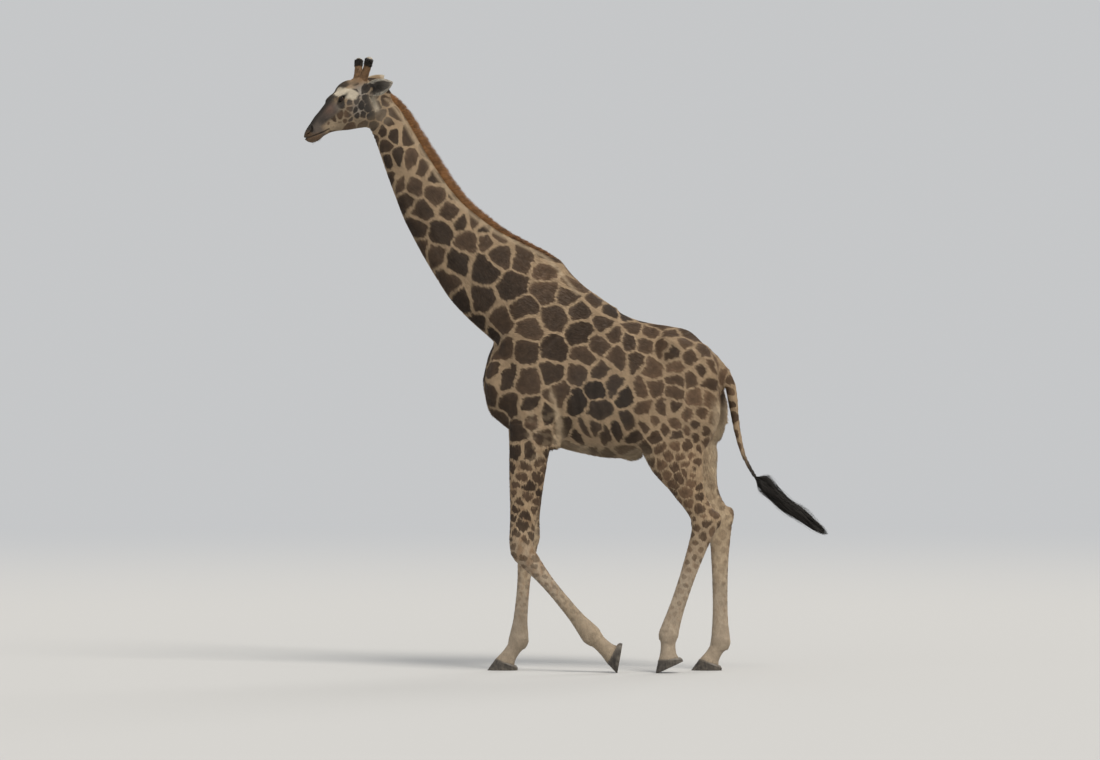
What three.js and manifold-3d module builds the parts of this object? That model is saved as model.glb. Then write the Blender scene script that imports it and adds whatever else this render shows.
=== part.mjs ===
// A bull giraffe in mid stride, life size, parted into the pieces a person would name.
// Millimetres, +Z up. The head points to -X and the animal's left side is at -Y.
// The body is one smooth distance field, built from tapering tubes and ellipsoids. Each piece is
// lofted from it along its own axis, then parted from its neighbours by a thin cut.
import * as THREE from "three";
import { mergeVertices } from "three/addons/utils/BufferGeometryUtils.js";
import Module from "manifold-3d";

// ---- Driving dimensions ----
const GAP = 0.3; // the cut between two pieces that touch
const LEFT = -1;
const RIGHT = 1;

// Places in the mid-plane, as [x, z].
const POLL = [-1421.5, 4349.5];
const NECK_ROOT = [-54, 2633];
const HEAD_ORIGIN = [-1501, 4451];
const HEAD_PITCH = 31.7; // degrees that the muzzle dips
const HEAD_YAW = 19; // degrees that the muzzle turns to the animal's left
const NECK_LENGTH = Math.hypot(POLL[0] - NECK_ROOT[0], POLL[1] - NECK_ROOT[1]);

// Where the parting planes lie: a point, the way that the plane faces, both in the mid-plane.
const NECK_PARTING = { at: [-373, 2899], facing: [-0.857, 0.515] };
const HEAD_PARTING = { at: [-1440, 4308], facing: [-0.932, 0.363] };
const MID_NECK = 955; // down the neck from the poll
const FORELEG_TOP = 1785;
const FORELEG_BACK = -40; // behind the elbow
const BRISKET_HALF = 45; // the trunk's keel, between the tops of the forelegs
const BRISKET_BOTTOM = 1695;
const GROIN_PARTING = { at: [570, 1660], facing: [0.7, -0.714] };
const HIND_LEG_TOP = 1985;

// Legs: the joints from the top down as [x, y, z], the toe, and the slope of the sole in degrees.
const LEGS = {
  fore_left: {
    kind: "fore",
    joints: [[-250, -205, 1790], [-346, -215, 940], [190, -225, 288]],
    toe: [385, -228],
    slope: 80,
  },
  fore_right: {
    kind: "fore",
    joints: [[-262, 200, 1850], [-298, 165, 1016], [-370, 135, 223]],
    toe: [-616, 130],
    slope: 0,
  },
  hind_left: {
    kind: "hind",
    joints: [[960, -150, 2330], [700, -205, 1800], [1068, -220, 1158], [778, -240, 297]],
    toe: [678, -245],
    slope: 25,
  },
  hind_right: {
    kind: "hind",
    joints: [[960, 150, 2330], [815, 200, 1805], [1184, 160, 1160], [1190, 130, 215]],
    toe: [962, 122],
    slope: 0,
  },
};

// Hoof: two claws side by side, each a wedge that is highest over the toe.
const HOOF = { length: 238, wallRun: 85, wall: 115, heelRun: 7, width: 92, narrowing: 0.16, cleft: 5 };
const CORONET = [138, 66]; // centre of the hair line, back from the toe and up from the sole
const TOE_FLAT = 8; // how much of a raised hoof's tip is worn flat

// Stations along a tube: [place, upper edge, lower edge, half width, narrowing of the upper half].
const BARREL = [
  [-645, 2250, 2215, 40, 0],
  [-600, 2440, 2020, 150, 0],
  [-520, 2590, 1925, 215, 0.1],
  [-400, 2740, 1835, 255, 0.2],
  [-250, 2860, 1770, 280, 0.25],
  [-50, 2940, 1720, 305, 0.3],
  [200, 2890, 1664, 335, 0.25],
  [350, 2800, 1645, 338, 0.2],
  [500, 2725, 1655, 325, 0.2],
  [650, 2685, 1705, 295, 0.15],
  [800, 2662, 1800, 265, 0.1],
  [950, 2620, 1950, 235, 0.1],
  [1080, 2490, 2060, 185, 0.1],
  [1170, 2370, 2120, 120, 0],
  [1215, 2300, 2190, 50, 0],
];
const WITHERS = [
  [-250, 3120, 2600, 115, 0.5],
  [-120, 3195, 2600, 120, 0.5],
  [-60, 3180, 2600, 125, 0.5],
  [23, 3080, 2550, 135, 0.45],
  [139, 2965, 2500, 145, 0.4],
  [254, 2865, 2450, 155, 0.3],
  [360, 2790, 2450, 165, 0.2],
];
const NECK = [
  [0, 92, -170, 80, 0.1],
  [131, 92, -193, 85, 0.1],
  [316, 65, -258, 92, 0.15],
  [470, 46, -312, 100, 0.2],
  [624, 31, -362, 108, 0.2],
  [786, 19, -412, 118, 0.25],
  [955, 23, -447, 128, 0.25],
  [1125, 58, -477, 140, 0.3],
  [1302, 108, -500, 155, 0.3],
  [1487, 193, -516, 175, 0.35],
  [1695, 285, -500, 200, 0.4],
  [1918, 300, -462, 225, 0.4],
  [2195, 300, -424, 250, 0.4],
];
const HEAD = [
  [-120, 74, -110, 70, 0],
  [0, 144, -178, 94, -0.15],
  [86, 170, -205, 106, -0.35],
  [160, 174, -200, 112, -0.45],
  [239, 165, -168, 106, -0.45],
  [311, 150, -140, 90, -0.35],
  [375, 128, -108, 74, -0.25],
  [438, 106, -84, 64, -0.1],
  [494, 88, -78, 60, 0],
  [550, 60, -76, 61, 0.1],
  [598, 26, -62, 54, 0.1],
  [630, -8, -46, 32, 0],
];

// Stations along a limb: [share of its length, rear edge, front edge, half width].
const FOREARM = [
  [-0.12, 160, -200, 105],
  [0.14, 125, -184, 90],
  [0.28, 119, -172, 80],
  [0.46, 108, -152, 70],
  [0.64, 93, -130, 62],
  [0.81, 84, -115, 61],
  [0.92, 90, -108, 66],
  [1.0, 90, -96, 64],
  [1.06, 70, -80, 54],
];
const FORE_CANNON = [
  [-0.04, 80, -80, 54],
  [0.06, 80, -88, 60],
  [0.26, 58, -68, 44],
  [0.42, 48, -57, 38],
  [0.62, 48, -56, 38],
  [0.8, 54, -62, 42],
  [0.93, 70, -76, 52],
  [1.0, 72, -78, 54],
  [1.06, 50, -58, 46],
];
const THIGH = [
  [-0.2, 150, -150, 95],
  [0.2, 300, -160, 138],
  [0.5, 365, -150, 145],
  [0.8, 370, -152, 130],
  [1.0, 325, -150, 118],
  [1.15, 240, -140, 105],
];
const GASKIN = [
  [-0.05, 300, -150, 118],
  [0.1, 298, -164, 118],
  [0.26, 280, -168, 110],
  [0.39, 240, -152, 104],
  [0.52, 180, -128, 92],
  [0.65, 130, -113, 80],
  [0.77, 104, -98, 70],
  [0.88, 100, -94, 66],
  [1.0, 104, -103, 66],
  [1.08, 70, -90, 56],
];
const HIND_CANNON = [
  [-0.04, 96, -100, 60],
  [0.03, 96, -102, 63],
  [0.12, 86, -86, 59],
  [0.22, 76, -77, 53],
  [0.34, 67, -70, 46],
  [0.5, 60, -64, 40],
  [0.7, 58, -62, 38],
  [0.83, 62, -66, 42],
  [0.94, 72, -72, 52],
  [1.0, 76, -70, 53],
  [1.06, 56, -54, 45],
];
const PASTERN = [
  [-0.2, 56, -58, 46],
  [0, 68, -72, 54],
  [0.4, 58, -60, 49],
  [0.75, 64, -62, 54],
  [1.0, 84, -70, 66],
  [1.35, 92, -78, 74],
];

// The tail hangs from the rump: [x, z, radius] along the dock, then the tuft of long hair.
const TAIL = [
  [1140, 2405, 40],
  [1222, 2300, 42],
  [1262, 2200, 43],
  [1280, 2085, 40],
  [1292, 1990, 33],
  [1312, 1863, 28],
  [1338, 1745, 23],
  [1368, 1650, 19],
  [1409, 1570, 17],
  [1448, 1505, 17],
];
const TUFT = [
  [1458, 1490, 24, 22],
  [1490, 1466, 50, 40],
  [1530, 1432, 61, 46],
  [1590, 1368, 57, 46],
  [1686, 1275, 49, 42],
  [1798, 1205, 45, 36],
  [1905, 1120, 34, 26],
  [1975, 1072, 20, 15],
  [2017, 1045, 5, 5],
];

// Mane: how far the stiff hair stands off the neck, and half its thickness, down from the poll.
const MANE = [
  [-75, 30, 8],
  [0, 58, 12],
  [250, 76, 15],
  [700, 78, 16],
  [1200, 70, 16],
  [1600, 52, 15],
  [1900, 40, 12],
  [2010, 18, 8],
];

// Places on the head, as [along it, up from its axis, out from its mid-plane].
const EYE = { at: [255, 108, 92], radius: 21 };
const OSSICONE = {
  root: [45, 118, 62],
  tip: [-95, 268, 122],
  stagger: [5, 4], // how far the right tip is ahead of that and above, and the left one behind and below
  base: 41,
  waist: 28,
  knob: 33,
  sunk: 30, // how deep the stem starts inside the skull
  rounding: 24, // the height of the knob's dome
  sides: 10,
};
const EAR = { root: [20, 48, 98], length: 236, width: 68, thickness: 9, cup: 36, sunk: 20 };
const EAR_OPENING = [-0.35, 0.9, -0.25]; // which way the cup faces, on the right side
const EAR_LEFT_TOWARDS = [158, -112, 44];
const EAR_RIGHT_TOWARDS = [150, 85, 112];

// Ellipsoids of muscle and bone on both sides: centre, radii, lean in degrees, blend.
const TRUNK_FORMS = [
  { at: [-300, 185, 2440], radii: [165, 95, 430], lean: -14, blend: 90 },
  { at: [-500, 150, 2200], radii: [125, 105, 165], lean: 0, blend: 80 },
  { at: [-235, 195, 2000], radii: [180, 100, 240], lean: 18, blend: 80 },
  { at: [790, 190, 2500], radii: [110, 75, 95], lean: 0, blend: 80 },
  { at: [925, 120, 2380], radii: [215, 130, 180], lean: 10, blend: 80 },
];
const SHEATH = { at: [493, 0, 1668], radii: [80, 42, 44], lean: 0, blend: 30 };
const ELBOW = { radii: [60, 46, 62], back: 150, down: -48 };
const HOCK_POINT = { radii: [36, 34, 62], back: 74, up: 42 };

// ---- Colours ----
const TAN = 0x8d7556;
const BROWN = 0x4a3626;
const MATERIALS = {
  coat: { color: BROWN, roughness: 0.85 },
  legs: { color: TAN, roughness: 0.85 },
  mane: { color: 0x6b4527, roughness: 0.9 },
  hair: { color: 0x15120f, roughness: 0.7 },
  horn: { color: 0x3a2d22, roughness: 0.8 },
  hoof: { color: 0x3b3630, roughness: 0.6 },
  eye: { color: 0x0b0908, roughness: 0.1 },
};

// ---- Vectors and curves ----
const SIDEWAYS = new THREE.Vector3(0, 1, 0);
const vector = (p) => new THREE.Vector3(...p);
const inMidPlane = ([x, z]) => new THREE.Vector3(x, 0, z);

// The value of each column of a table at any place: a cubic curve through its rows.
const TABLE_STEP = 8;
function smoothTable(rows) {
  const first = rows[0][0];
  const last = rows[rows.length - 1][0];
  const slopes = rows.map((row, i) => {
    const before = rows[Math.max(i - 1, 0)];
    const after = rows[Math.min(i + 1, rows.length - 1)];
    return row.map((_, c) => (after[c] - before[c]) / (after[0] - before[0]));
  });
  const count = Math.ceil((last - first) / TABLE_STEP);
  const samples = [];
  let k = 0;
  for (let i = 0; i <= count; i++) {
    const s = first + ((last - first) * i) / count;
    while (k < rows.length - 2 && s > rows[k + 1][0]) k++;
    const span = rows[k + 1][0] - rows[k][0];
    const t = (s - rows[k][0]) / span;
    const t2 = t * t;
    const t3 = t2 * t;
    samples.push(
      rows[k].map((v, c) => {
        const held = (2 * t3 - 3 * t2 + 1) * v + (3 * t2 - 2 * t3) * rows[k + 1][c];
        return held + span * ((t3 - 2 * t2 + t) * slopes[k][c] + (t3 - t2) * slopes[k + 1][c]);
      }),
    );
  }
  const read = (s, c) => {
    const at = THREE.MathUtils.clamp(((s - first) / (last - first)) * count, 0, count);
    const i = Math.min(Math.floor(at), count - 1);
    return samples[i][c] + (samples[i + 1][c] - samples[i][c]) * (at - i);
  };
  return { first, last, read };
}

// ---- Distance field ----
// The smaller of two distances, rounded over the width k where they are alike.
function blend(a, b, k) {
  const h = Math.max(k - Math.abs(a - b), 0) / k;
  return Math.min(a, b) - h * h * k * 0.25;
}

// The distance to an ellipse or ellipsoid from a place measured in its radii.
function scaledDistance(u, v, w, a, b, c) {
  const r = Math.hypot(u / a, v / b, w / c);
  const g = Math.hypot(u / (a * a), v / (b * b), w / (c * c));
  return g < 1e-9 ? -Math.min(a, b, c) : (r * (r - 1)) / g;
}

// A tapering tube: an axis from `start` and the table of its stations, seen from `side`.
function tube(start, axis, stations, side = SIDEWAYS) {
  const across = axis.clone().cross(side).normalize();
  const table = smoothTable(stations);
  const distance = (x, y, z) => {
    const dx = x - start.x;
    const dy = y - start.y;
    const dz = z - start.z;
    const s = dx * axis.x + dy * axis.y + dz * axis.z;
    const n = dx * across.x + dy * across.y + dz * across.z;
    const v = dx * side.x + dy * side.y + dz * side.z;
    const upper = table.read(s, 1);
    const lower = table.read(s, 2);
    const half = table.read(s, 3);
    const height = Math.max((upper - lower) / 2, 1);
    const u = n - (upper + lower) / 2;
    const lean = THREE.MathUtils.clamp(u / height, -1, 1) * (table.read(s, 4) || 0);
    const d = scaledDistance(u, v / (1 - lean), 0, height, half, 1);
    const past = Math.max(table.first - s, s - table.last, 0);
    return past > 0 ? Math.hypot(Math.max(d, 0), past) : d;
  };
  const centre = (s) =>
    start
      .clone()
      .addScaledVector(axis, s)
      .addScaledVector(across, (table.read(s, 1) + table.read(s, 2)) / 2);
  return { start, axis, across, side, distance, centre };
}

// A tube between two joints, with its stations given as shares of its length.
function limb(from, to, stations) {
  const axis = to.clone().sub(from);
  const length = axis.length();
  axis.divideScalar(length);
  const side = SIDEWAYS.clone().addScaledVector(axis, -axis.y).normalize();
  const rows = stations.map(([share, ...rest]) => [share * length, ...rest, 0]);
  return { ...tube(from, axis, rows, side), length };
}

// An ellipsoid on both sides of the mid-plane, leaning in it.
function pairedEllipsoid({ at, radii, lean }) {
  const c = Math.cos(THREE.MathUtils.degToRad(lean));
  const s = Math.sin(THREE.MathUtils.degToRad(lean));
  return (x, y, z) => {
    const dx = x - at[0];
    const dz = z - at[2];
    const dy = Math.abs(y) - at[1];
    return scaledDistance(c * dx - s * dz, dy, s * dx + c * dz, ...radii);
  };
}

// ---- The body's tubes ----
const ORIGIN = new THREE.Vector3();
const REARWARD = new THREE.Vector3(1, 0, 0);
const barrel = tube(ORIGIN, REARWARD, BARREL);
const withers = tube(ORIGIN, REARWARD, WITHERS);
const neckAxis = inMidPlane(NECK_ROOT).sub(inMidPlane(POLL)).normalize();
const neck = tube(inMidPlane(POLL), neckAxis, NECK);

const pitch = THREE.MathUtils.degToRad(HEAD_PITCH);
const yaw = THREE.MathUtils.degToRad(HEAD_YAW);
const headAxis = vector([
  -Math.cos(pitch) * Math.cos(yaw),
  -Math.cos(pitch) * Math.sin(yaw),
  -Math.sin(pitch),
]);
const headSide = vector([Math.sin(yaw), -Math.cos(yaw), 0]); // the animal's left
const head = tube(inMidPlane(HEAD_ORIGIN), headAxis, HEAD, headSide);
const onHead = ([s, n, v], side) =>
  head.start
    .clone()
    .addScaledVector(head.axis, s)
    .addScaledVector(head.across, n)
    .addScaledVector(head.side, -side * v);

// The rounded forms of the head, as [along, up, out], radii and blend: brows, cheeks, lips, horn boss.
const HEAD_FORMS = [
  { at: [215, 118, 78], radii: [70, 34, 36], blend: 22 },
  { at: [110, -80, 52], radii: [105, 90, 34], blend: 30 },
  { at: [165, 158, 0], radii: [80, 42, 44], blend: 30 },
  { at: [572, -4, 28], radii: [58, 36, 32], blend: 20 },
  { at: [594, -44, 0], radii: [50, 24, 36], blend: 18 },
];
function headDistance(x, y, z) {
  const dx = x - head.start.x;
  const dy = y - head.start.y;
  const dz = z - head.start.z;
  const s = dx * head.axis.x + dy * head.axis.y + dz * head.axis.z;
  const n = dx * head.across.x + dy * head.across.y + dz * head.across.z;
  const v = Math.abs(dx * head.side.x + dy * head.side.y + dz * head.side.z);
  let d = head.distance(x, y, z);
  for (const form of HEAD_FORMS) {
    const [fs, fn, fv] = form.at;
    d = blend(d, scaledDistance(s - fs, n - fn, v - fv, ...form.radii), form.blend);
  }
  return d;
}

// A leg: its limbs from the top down, and the frame of its hoof.
const CORONET_DROP = THREE.MathUtils.degToRad(20); // the hair line falls towards the heel
function makeLeg({ kind, joints, toe, slope }) {
  const points = joints.map(vector);
  const tilt = THREE.MathUtils.degToRad(slope);
  const sole = vector([Math.cos(tilt), 0, Math.sin(tilt)]); // from the toe to the heel
  const rise = vector([-Math.sin(tilt), 0, Math.cos(tilt)]);
  const tip = vector([toe[0], toe[1], slope > 0 ? -TOE_FLAT : 0]);
  const coronet = tip.clone().addScaledVector(sole, CORONET[0]).addScaledVector(rise, CORONET[1]);
  const hairLine = rise
    .clone()
    .multiplyScalar(Math.cos(CORONET_DROP))
    .addScaledVector(sole, Math.sin(CORONET_DROP));
  const fetlock = points[points.length - 1];
  const pastern = limb(fetlock, coronet, PASTERN);
  const shapes = kind === "fore" ? [FOREARM, FORE_CANNON] : [THIGH, GASKIN, HIND_CANNON];
  const limbs = shapes.map((shape, i) => limb(points[i], points[i + 1], shape));
  const [upper, cannon] = limbs.slice(-2);
  return { kind, points, tip, sole, rise, coronet, hairLine, pastern, limbs, upper, cannon };
}
const legs = Object.fromEntries(Object.entries(LEGS).map(([name, leg]) => [name, makeLeg(leg)]));

// The bony points behind a leg's joints: the elbow, or the point of the hock.
function bonyPoint({ kind, limbs, cannon }) {
  const form = kind === "fore" ? ELBOW : HOCK_POINT;
  const from = kind === "fore" ? limbs[0] : cannon;
  const at = from.start
    .clone()
    .addScaledVector(from.across, form.back)
    .addScaledVector(from.axis, kind === "fore" ? -form.down : -form.up);
  return (x, y, z) => scaledDistance(x - at.x, y - at.y, z - at.z, ...form.radii);
}

// How widely the parts of the body run into each other.
const LIMB_BLEND = 26;
const BODY_BLEND = 60;
const WITHERS_BLEND = 90;
const NECK_BLEND = 60;
const HEAD_BLEND = 40;
const bonyPoints = Object.fromEntries(Object.entries(legs).map(([n, leg]) => [n, bonyPoint(leg)]));
function legDistance(name, x, y, z) {
  const leg = legs[name];
  let d = leg.pastern.distance(x, y, z);
  for (const part of leg.limbs) d = blend(d, part.distance(x, y, z), LIMB_BLEND);
  return blend(d, bonyPoints[name](x, y, z), LIMB_BLEND);
}

const trunkForms = TRUNK_FORMS.map((form) => [pairedEllipsoid(form), form.blend]);
const sheath = pairedEllipsoid(SHEATH);
function coreDistance(x, y, z) {
  let d = blend(barrel.distance(x, y, z), withers.distance(x, y, z), WITHERS_BLEND);
  for (const [form, width] of trunkForms) d = blend(d, form(x, y, z), width);
  d = blend(d, sheath(x, y, z), SHEATH.blend);
  return blend(d, neck.distance(x, y, z), NECK_BLEND);
}
const NECK_REACH = 4100; // above this only the neck and the head count
const HEAD_REACH = 3900; // below this the head doesn't
const LEG_REACH = 2900; // above this the legs don't
function bodyDistance(x, y, z) {
  let d = z > NECK_REACH ? neck.distance(x, y, z) : coreDistance(x, y, z);
  if (z > HEAD_REACH) d = blend(d, headDistance(x, y, z), HEAD_BLEND);
  if (z > LEG_REACH) return d;
  for (const name of Object.keys(legs)) {
    if (Math.sign(y) === Math.sign(legs[name].tip.y)) {
      d = blend(d, legDistance(name, x, y, z), BODY_BLEND);
    }
  }
  return d;
}

// ---- Lofts ----
// How far a ray from inside the body goes before it leaves it.
const FARTHEST = 1600;
function reach(field, from, way) {
  let near = 0;
  let far = 0;
  const inside = (r) => field(from.x + way.x * r, from.y + way.y * r, from.z + way.z * r);
  for (let d = inside(0); d < 0 && far < FARTHEST; d = inside(far)) {
    near = far;
    far += Math.max(-d * 0.7, 1.5);
  }
  for (let i = 0; i < 24; i++) {
    const mid = (near + far) / 2;
    if (inside(mid) < 0) near = mid;
    else far = mid;
  }
  return near;
}

// A closed geometry from rings of equal length, each end closed by a point.
function closeRings(rings, startPoint, endPoint) {
  const count = rings[0].length;
  const points = [...rings.flat(), startPoint, endPoint];
  const start = rings.length * count;
  const index = [];
  for (let j = 0; j < count; j++) {
    const k = (j + 1) % count;
    index.push(start, k, j);
    index.push(start + 1, start - count + j, start - count + k);
    for (let i = 0; i < rings.length - 1; i++) {
      const a = i * count;
      const b = a + count;
      index.push(a + j, a + k, b + k, a + j, b + k, b + j);
    }
  }
  const positions = new Float32Array(points.flatMap((p) => [p.x, p.y, p.z]));
  const geometry = new THREE.BufferGeometry();
  geometry.setAttribute("position", new THREE.BufferAttribute(positions, 3));
  geometry.setIndex(index);
  return geometry;
}

// Ring frames along a straight tube, or along a curve through points in its order.
function straightFrames({ centre, axis, across, side }, from, to, count) {
  return Array.from({ length: count }, (_, i) => {
    const middle = centre(from + ((to - from) * i) / (count - 1));
    return { middle, axis, across, side };
  });
}
function curvedFrames(points, count) {
  const curve = new THREE.CatmullRomCurve3(points);
  return Array.from({ length: count }, (_, i) => {
    const middle = curve.getPointAt(i / (count - 1));
    const axis = curve.getTangentAt(i / (count - 1));
    const across = axis.clone().cross(SIDEWAYS).normalize();
    return { middle, axis, across, side: across.clone().cross(axis) };
  });
}

// Rays cast round each frame to the surface of a field; `extra` grows the result, and `round`
// closes the far end with the point that the axis reaches.
function loft(field, frames, rays, { extra = 0, round = false } = {}) {
  const rings = frames.map(({ middle, across, side }) =>
    Array.from({ length: rays }, (_, j) => {
      const angle = (2 * Math.PI * j) / rays;
      const way = across.clone().multiplyScalar(Math.cos(angle));
      way.addScaledVector(side, Math.sin(angle));
      return middle.clone().addScaledVector(way, reach(field, middle, way) + extra);
    }),
  );
  const { middle: last, axis } = frames[frames.length - 1];
  const end = last.clone();
  if (round) end.addScaledVector(axis, reach(field, last, axis) + extra);
  return orient(closeRings(rings, frames[0].middle, end));
}

// Turns a geometry's faces outwards if they point in.
function orient(geometry) {
  const p = geometry.attributes.position;
  const index = geometry.index.array;
  let volume = 0;
  const at = (i) => new THREE.Vector3().fromBufferAttribute(p, i);
  for (let i = 0; i < index.length; i += 3) {
    volume += at(index[i]).dot(at(index[i + 1]).cross(at(index[i + 2])));
  }
  if (volume < 0) {
    for (let i = 0; i < index.length; i += 3) {
      [index[i + 1], index[i + 2]] = [index[i + 2], index[i + 1]];
    }
  }
  return geometry;
}

// ---- Solids ----
const wasm = await Module();
wasm.setup();

function toSolid(geometry) {
  const bare = geometry.clone();
  for (const name of Object.keys(bare.attributes)) {
    if (name !== "position") bare.deleteAttribute(name);
  }
  const merged = mergeVertices(bare, 1e-4);
  return new wasm.Manifold(
    new wasm.Mesh({
      numProp: 3,
      vertProperties: new Float32Array(merged.attributes.position.array),
      triVerts: new Uint32Array(merged.index.array),
    }),
  );
}

function toGeometry(solid) {
  const mesh = solid.getMesh();
  const geometry = new THREE.BufferGeometry();
  geometry.setAttribute("position", new THREE.BufferAttribute(mesh.vertProperties, 3));
  geometry.setIndex(new THREE.BufferAttribute(mesh.triVerts, 1));
  return geometry;
}

// The half of space on the side that a plane faces, half a gap away from it, as a big box.
const SPACE = 6000;
function halfSpace(at, facing) {
  const box = new THREE.BoxGeometry(SPACE, SPACE, SPACE);
  const way = facing.clone().normalize();
  const turn = new THREE.Quaternion().setFromUnitVectors(new THREE.Vector3(0, 0, 1), way);
  const centre = at.clone().addScaledVector(way, SPACE / 2 + GAP / 2);
  box.applyQuaternion(turn).translate(centre.x, centre.y, centre.z);
  return toSolid(box);
}
const planeSides = ({ at, facing }) => {
  const point = inMidPlane(at);
  const way = inMidPlane(facing).normalize();
  return { beyond: halfSpace(point, way), behind: halfSpace(point, way.clone().negate()), point, way };
};

function boxSolid([x0, x1], [y0, y1], [z0, z1]) {
  const box = new THREE.BoxGeometry(x1 - x0, y1 - y0, z1 - z0);
  box.translate((x0 + x1) / 2, (y0 + y1) / 2, (z0 + z1) / 2);
  return toSolid(box);
}

// ---- Pieces ----
const MARGIN = 160; // how far a raw loft runs past the plane that parts it
const giraffe = new THREE.Group();
const body = new THREE.Group();
giraffe.add(body);

const shades = Object.fromEntries(
  Object.entries(MATERIALS).map(([name, look]) => [
    name,
    () => new THREE.MeshStandardMaterial({ ...look, metalness: 0 }),
  ]),
);
function addPiece(name, solid, shade) {
  const mesh = new THREE.Mesh(toGeometry(solid), shades[shade]());
  mesh.name = name;
  body.add(mesh);
}

const neckCut = planeSides(NECK_PARTING);
const headCut = planeSides(HEAD_PARTING);
const midNeckPoint = neck.centre(MID_NECK);
const aboveMidNeck = halfSpace(midNeckPoint, neckAxis.clone().negate());
const belowMidNeck = halfSpace(midNeckPoint, neckAxis);

// How far a place is beyond a parting plane.
const beyond = ({ point, way }, x, z) => (x - point.x) * way.x + (z - point.z) * way.z;

// Trunk, with the shoulders and the rump, down to the tops of the legs.
const trunkField = (x, y, z) => Math.max(bodyDistance(x, y, z), beyond(neckCut, x, z) - MARGIN);
const TRUNK_SPINE = 2200; // the trunk's rings are cast from this height or above
const TRUNK_ENDS = [-640, 1195];
const TRUNK_RINGS = 28;
const TRUNK_RAYS = 28;
const trunkFrames = straightFrames(barrel, ...TRUNK_ENDS, TRUNK_RINGS);
for (const { middle } of trunkFrames) middle.z = Math.max(middle.z, TRUNK_SPINE);
const rawTrunk = toSolid(loft(trunkField, trunkFrames, TRUNK_RAYS, { round: true }));
const grownTrunk = toSolid(loft(trunkField, trunkFrames, TRUNK_RAYS, { round: true, extra: 2 * GAP }));
const groinCut = planeSides(GROIN_PARTING);
const hindTop = halfSpace(new THREE.Vector3(0, 0, HIND_LEG_TOP), new THREE.Vector3(0, 0, -1));
const aboveHindTop = halfSpace(new THREE.Vector3(0, 0, HIND_LEG_TOP), new THREE.Vector3(0, 0, 1));
const WIDE = 900; // clear of the body on both sides, and ahead of it
const UNDER = -100; // clear below the feet
const foreTop = FORELEG_TOP + GAP / 2;
let trunk = rawTrunk.intersect(neckCut.behind).intersect(groinCut.behind.add(aboveHindTop));
for (const side of [LEFT, RIGHT]) {
  const across = [side * BRISKET_HALF, side * WIDE].sort((a, b) => a - b);
  trunk = trunk.subtract(boxSolid([-WIDE, FORELEG_BACK], across, [UNDER, foreTop]));
}
const keel = [-BRISKET_HALF, BRISKET_HALF];
trunk = trunk.subtract(boxSolid([-WIDE, FORELEG_BACK], keel, [UNDER, BRISKET_BOTTOM]));
addPiece("trunk", trunk, "coat");

// Neck, in two lengths.
const neckField = (x, y, z) =>
  Math.max(
    bodyDistance(x, y, z),
    beyond(headCut, x, z) - MARGIN,
    -beyond(neckCut, x, z) - MARGIN,
  );
const NECK_ENDS = [-120, NECK_LENGTH + 330];
const NECK_RINGS = 24;
const NECK_RAYS = 16;
const neckFrames = straightFrames(neck, ...NECK_ENDS, NECK_RINGS);
const rawNeck = toSolid(loft(neckField, neckFrames, NECK_RAYS));
const grownNeck = toSolid(loft(neckField, neckFrames, NECK_RAYS, { extra: 2 * GAP }));
const wholeNeck = rawNeck.intersect(neckCut.beyond).intersect(headCut.behind);
addPiece("neck_upper", wholeNeck.intersect(aboveMidNeck), "coat");
addPiece("neck_lower", wholeNeck.intersect(belowMidNeck), "coat");

// Head and lower jaw, parted along the line of the mouth.
const JAW_LINE = { from: [600, -22], to: [60, -128] }; // [along, up] at the lips and at the joint
const JAW_BACK = 70; // the jaw's joint, along the head
const headField = (x, y, z) =>
  Math.max(
    blend(headDistance(x, y, z), neck.distance(x, y, z), HEAD_BLEND),
    -beyond(headCut, x, z) - MARGIN,
  );
const HEAD_ENDS = [-150, 628];
const HEAD_RINGS = 22;
const HEAD_RAYS = 20;
const headFrames = straightFrames(head, ...HEAD_ENDS, HEAD_RINGS);
const rawHead = toSolid(loft(headField, headFrames, HEAD_RAYS, { round: true }));
const grownHead = toSolid(loft(headField, headFrames, HEAD_RAYS, { round: true, extra: 2 * GAP }));
const jawFront = onHead([...JAW_LINE.from, 0], RIGHT);
const jawAcross = jawFront.clone().sub(onHead([...JAW_LINE.to, 0], RIGHT)).cross(headSide);
const underMouth = halfSpace(jawFront, jawAcross.clone().multiplyScalar(Math.sign(-jawAcross.z)));
const aheadOfJoint = halfSpace(onHead([JAW_BACK, 0, 0], RIGHT), headAxis);
const jawSpace = underMouth.intersect(aheadOfJoint);
const jaw = rawHead.intersect(jawSpace).intersect(headCut.beyond);
const jawUp = jawAcross.multiplyScalar(Math.sign(jawAcross.z)).normalize();
const jawRoom = jawSpace
  .translate(jawUp.multiplyScalar(GAP).toArray())
  .add(jawSpace.translate(headAxis.clone().multiplyScalar(-GAP).toArray()));
const skull = rawHead.intersect(headCut.beyond).subtract(jawRoom);

// Eyes, each set in its socket.
function ball(centre, radius) {
  const sphere = new THREE.SphereGeometry(radius, 10, 7);
  sphere.translate(centre.x, centre.y, centre.z);
  return toSolid(sphere);
}
const eyeAt = (side) => onHead(EYE.at, side);
const sockets = [LEFT, RIGHT].map((side) => ball(eyeAt(side), EYE.radius + GAP * 1.5));
addPiece("head", sockets.reduce((solid, socket) => solid.subtract(socket), skull), "coat");
addPiece("lower_jaw", jaw, "legs");
addPiece("eye_left", ball(eyeAt(LEFT), EYE.radius), "eye");
addPiece("eye_right", ball(eyeAt(RIGHT), EYE.radius), "eye");

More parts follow.
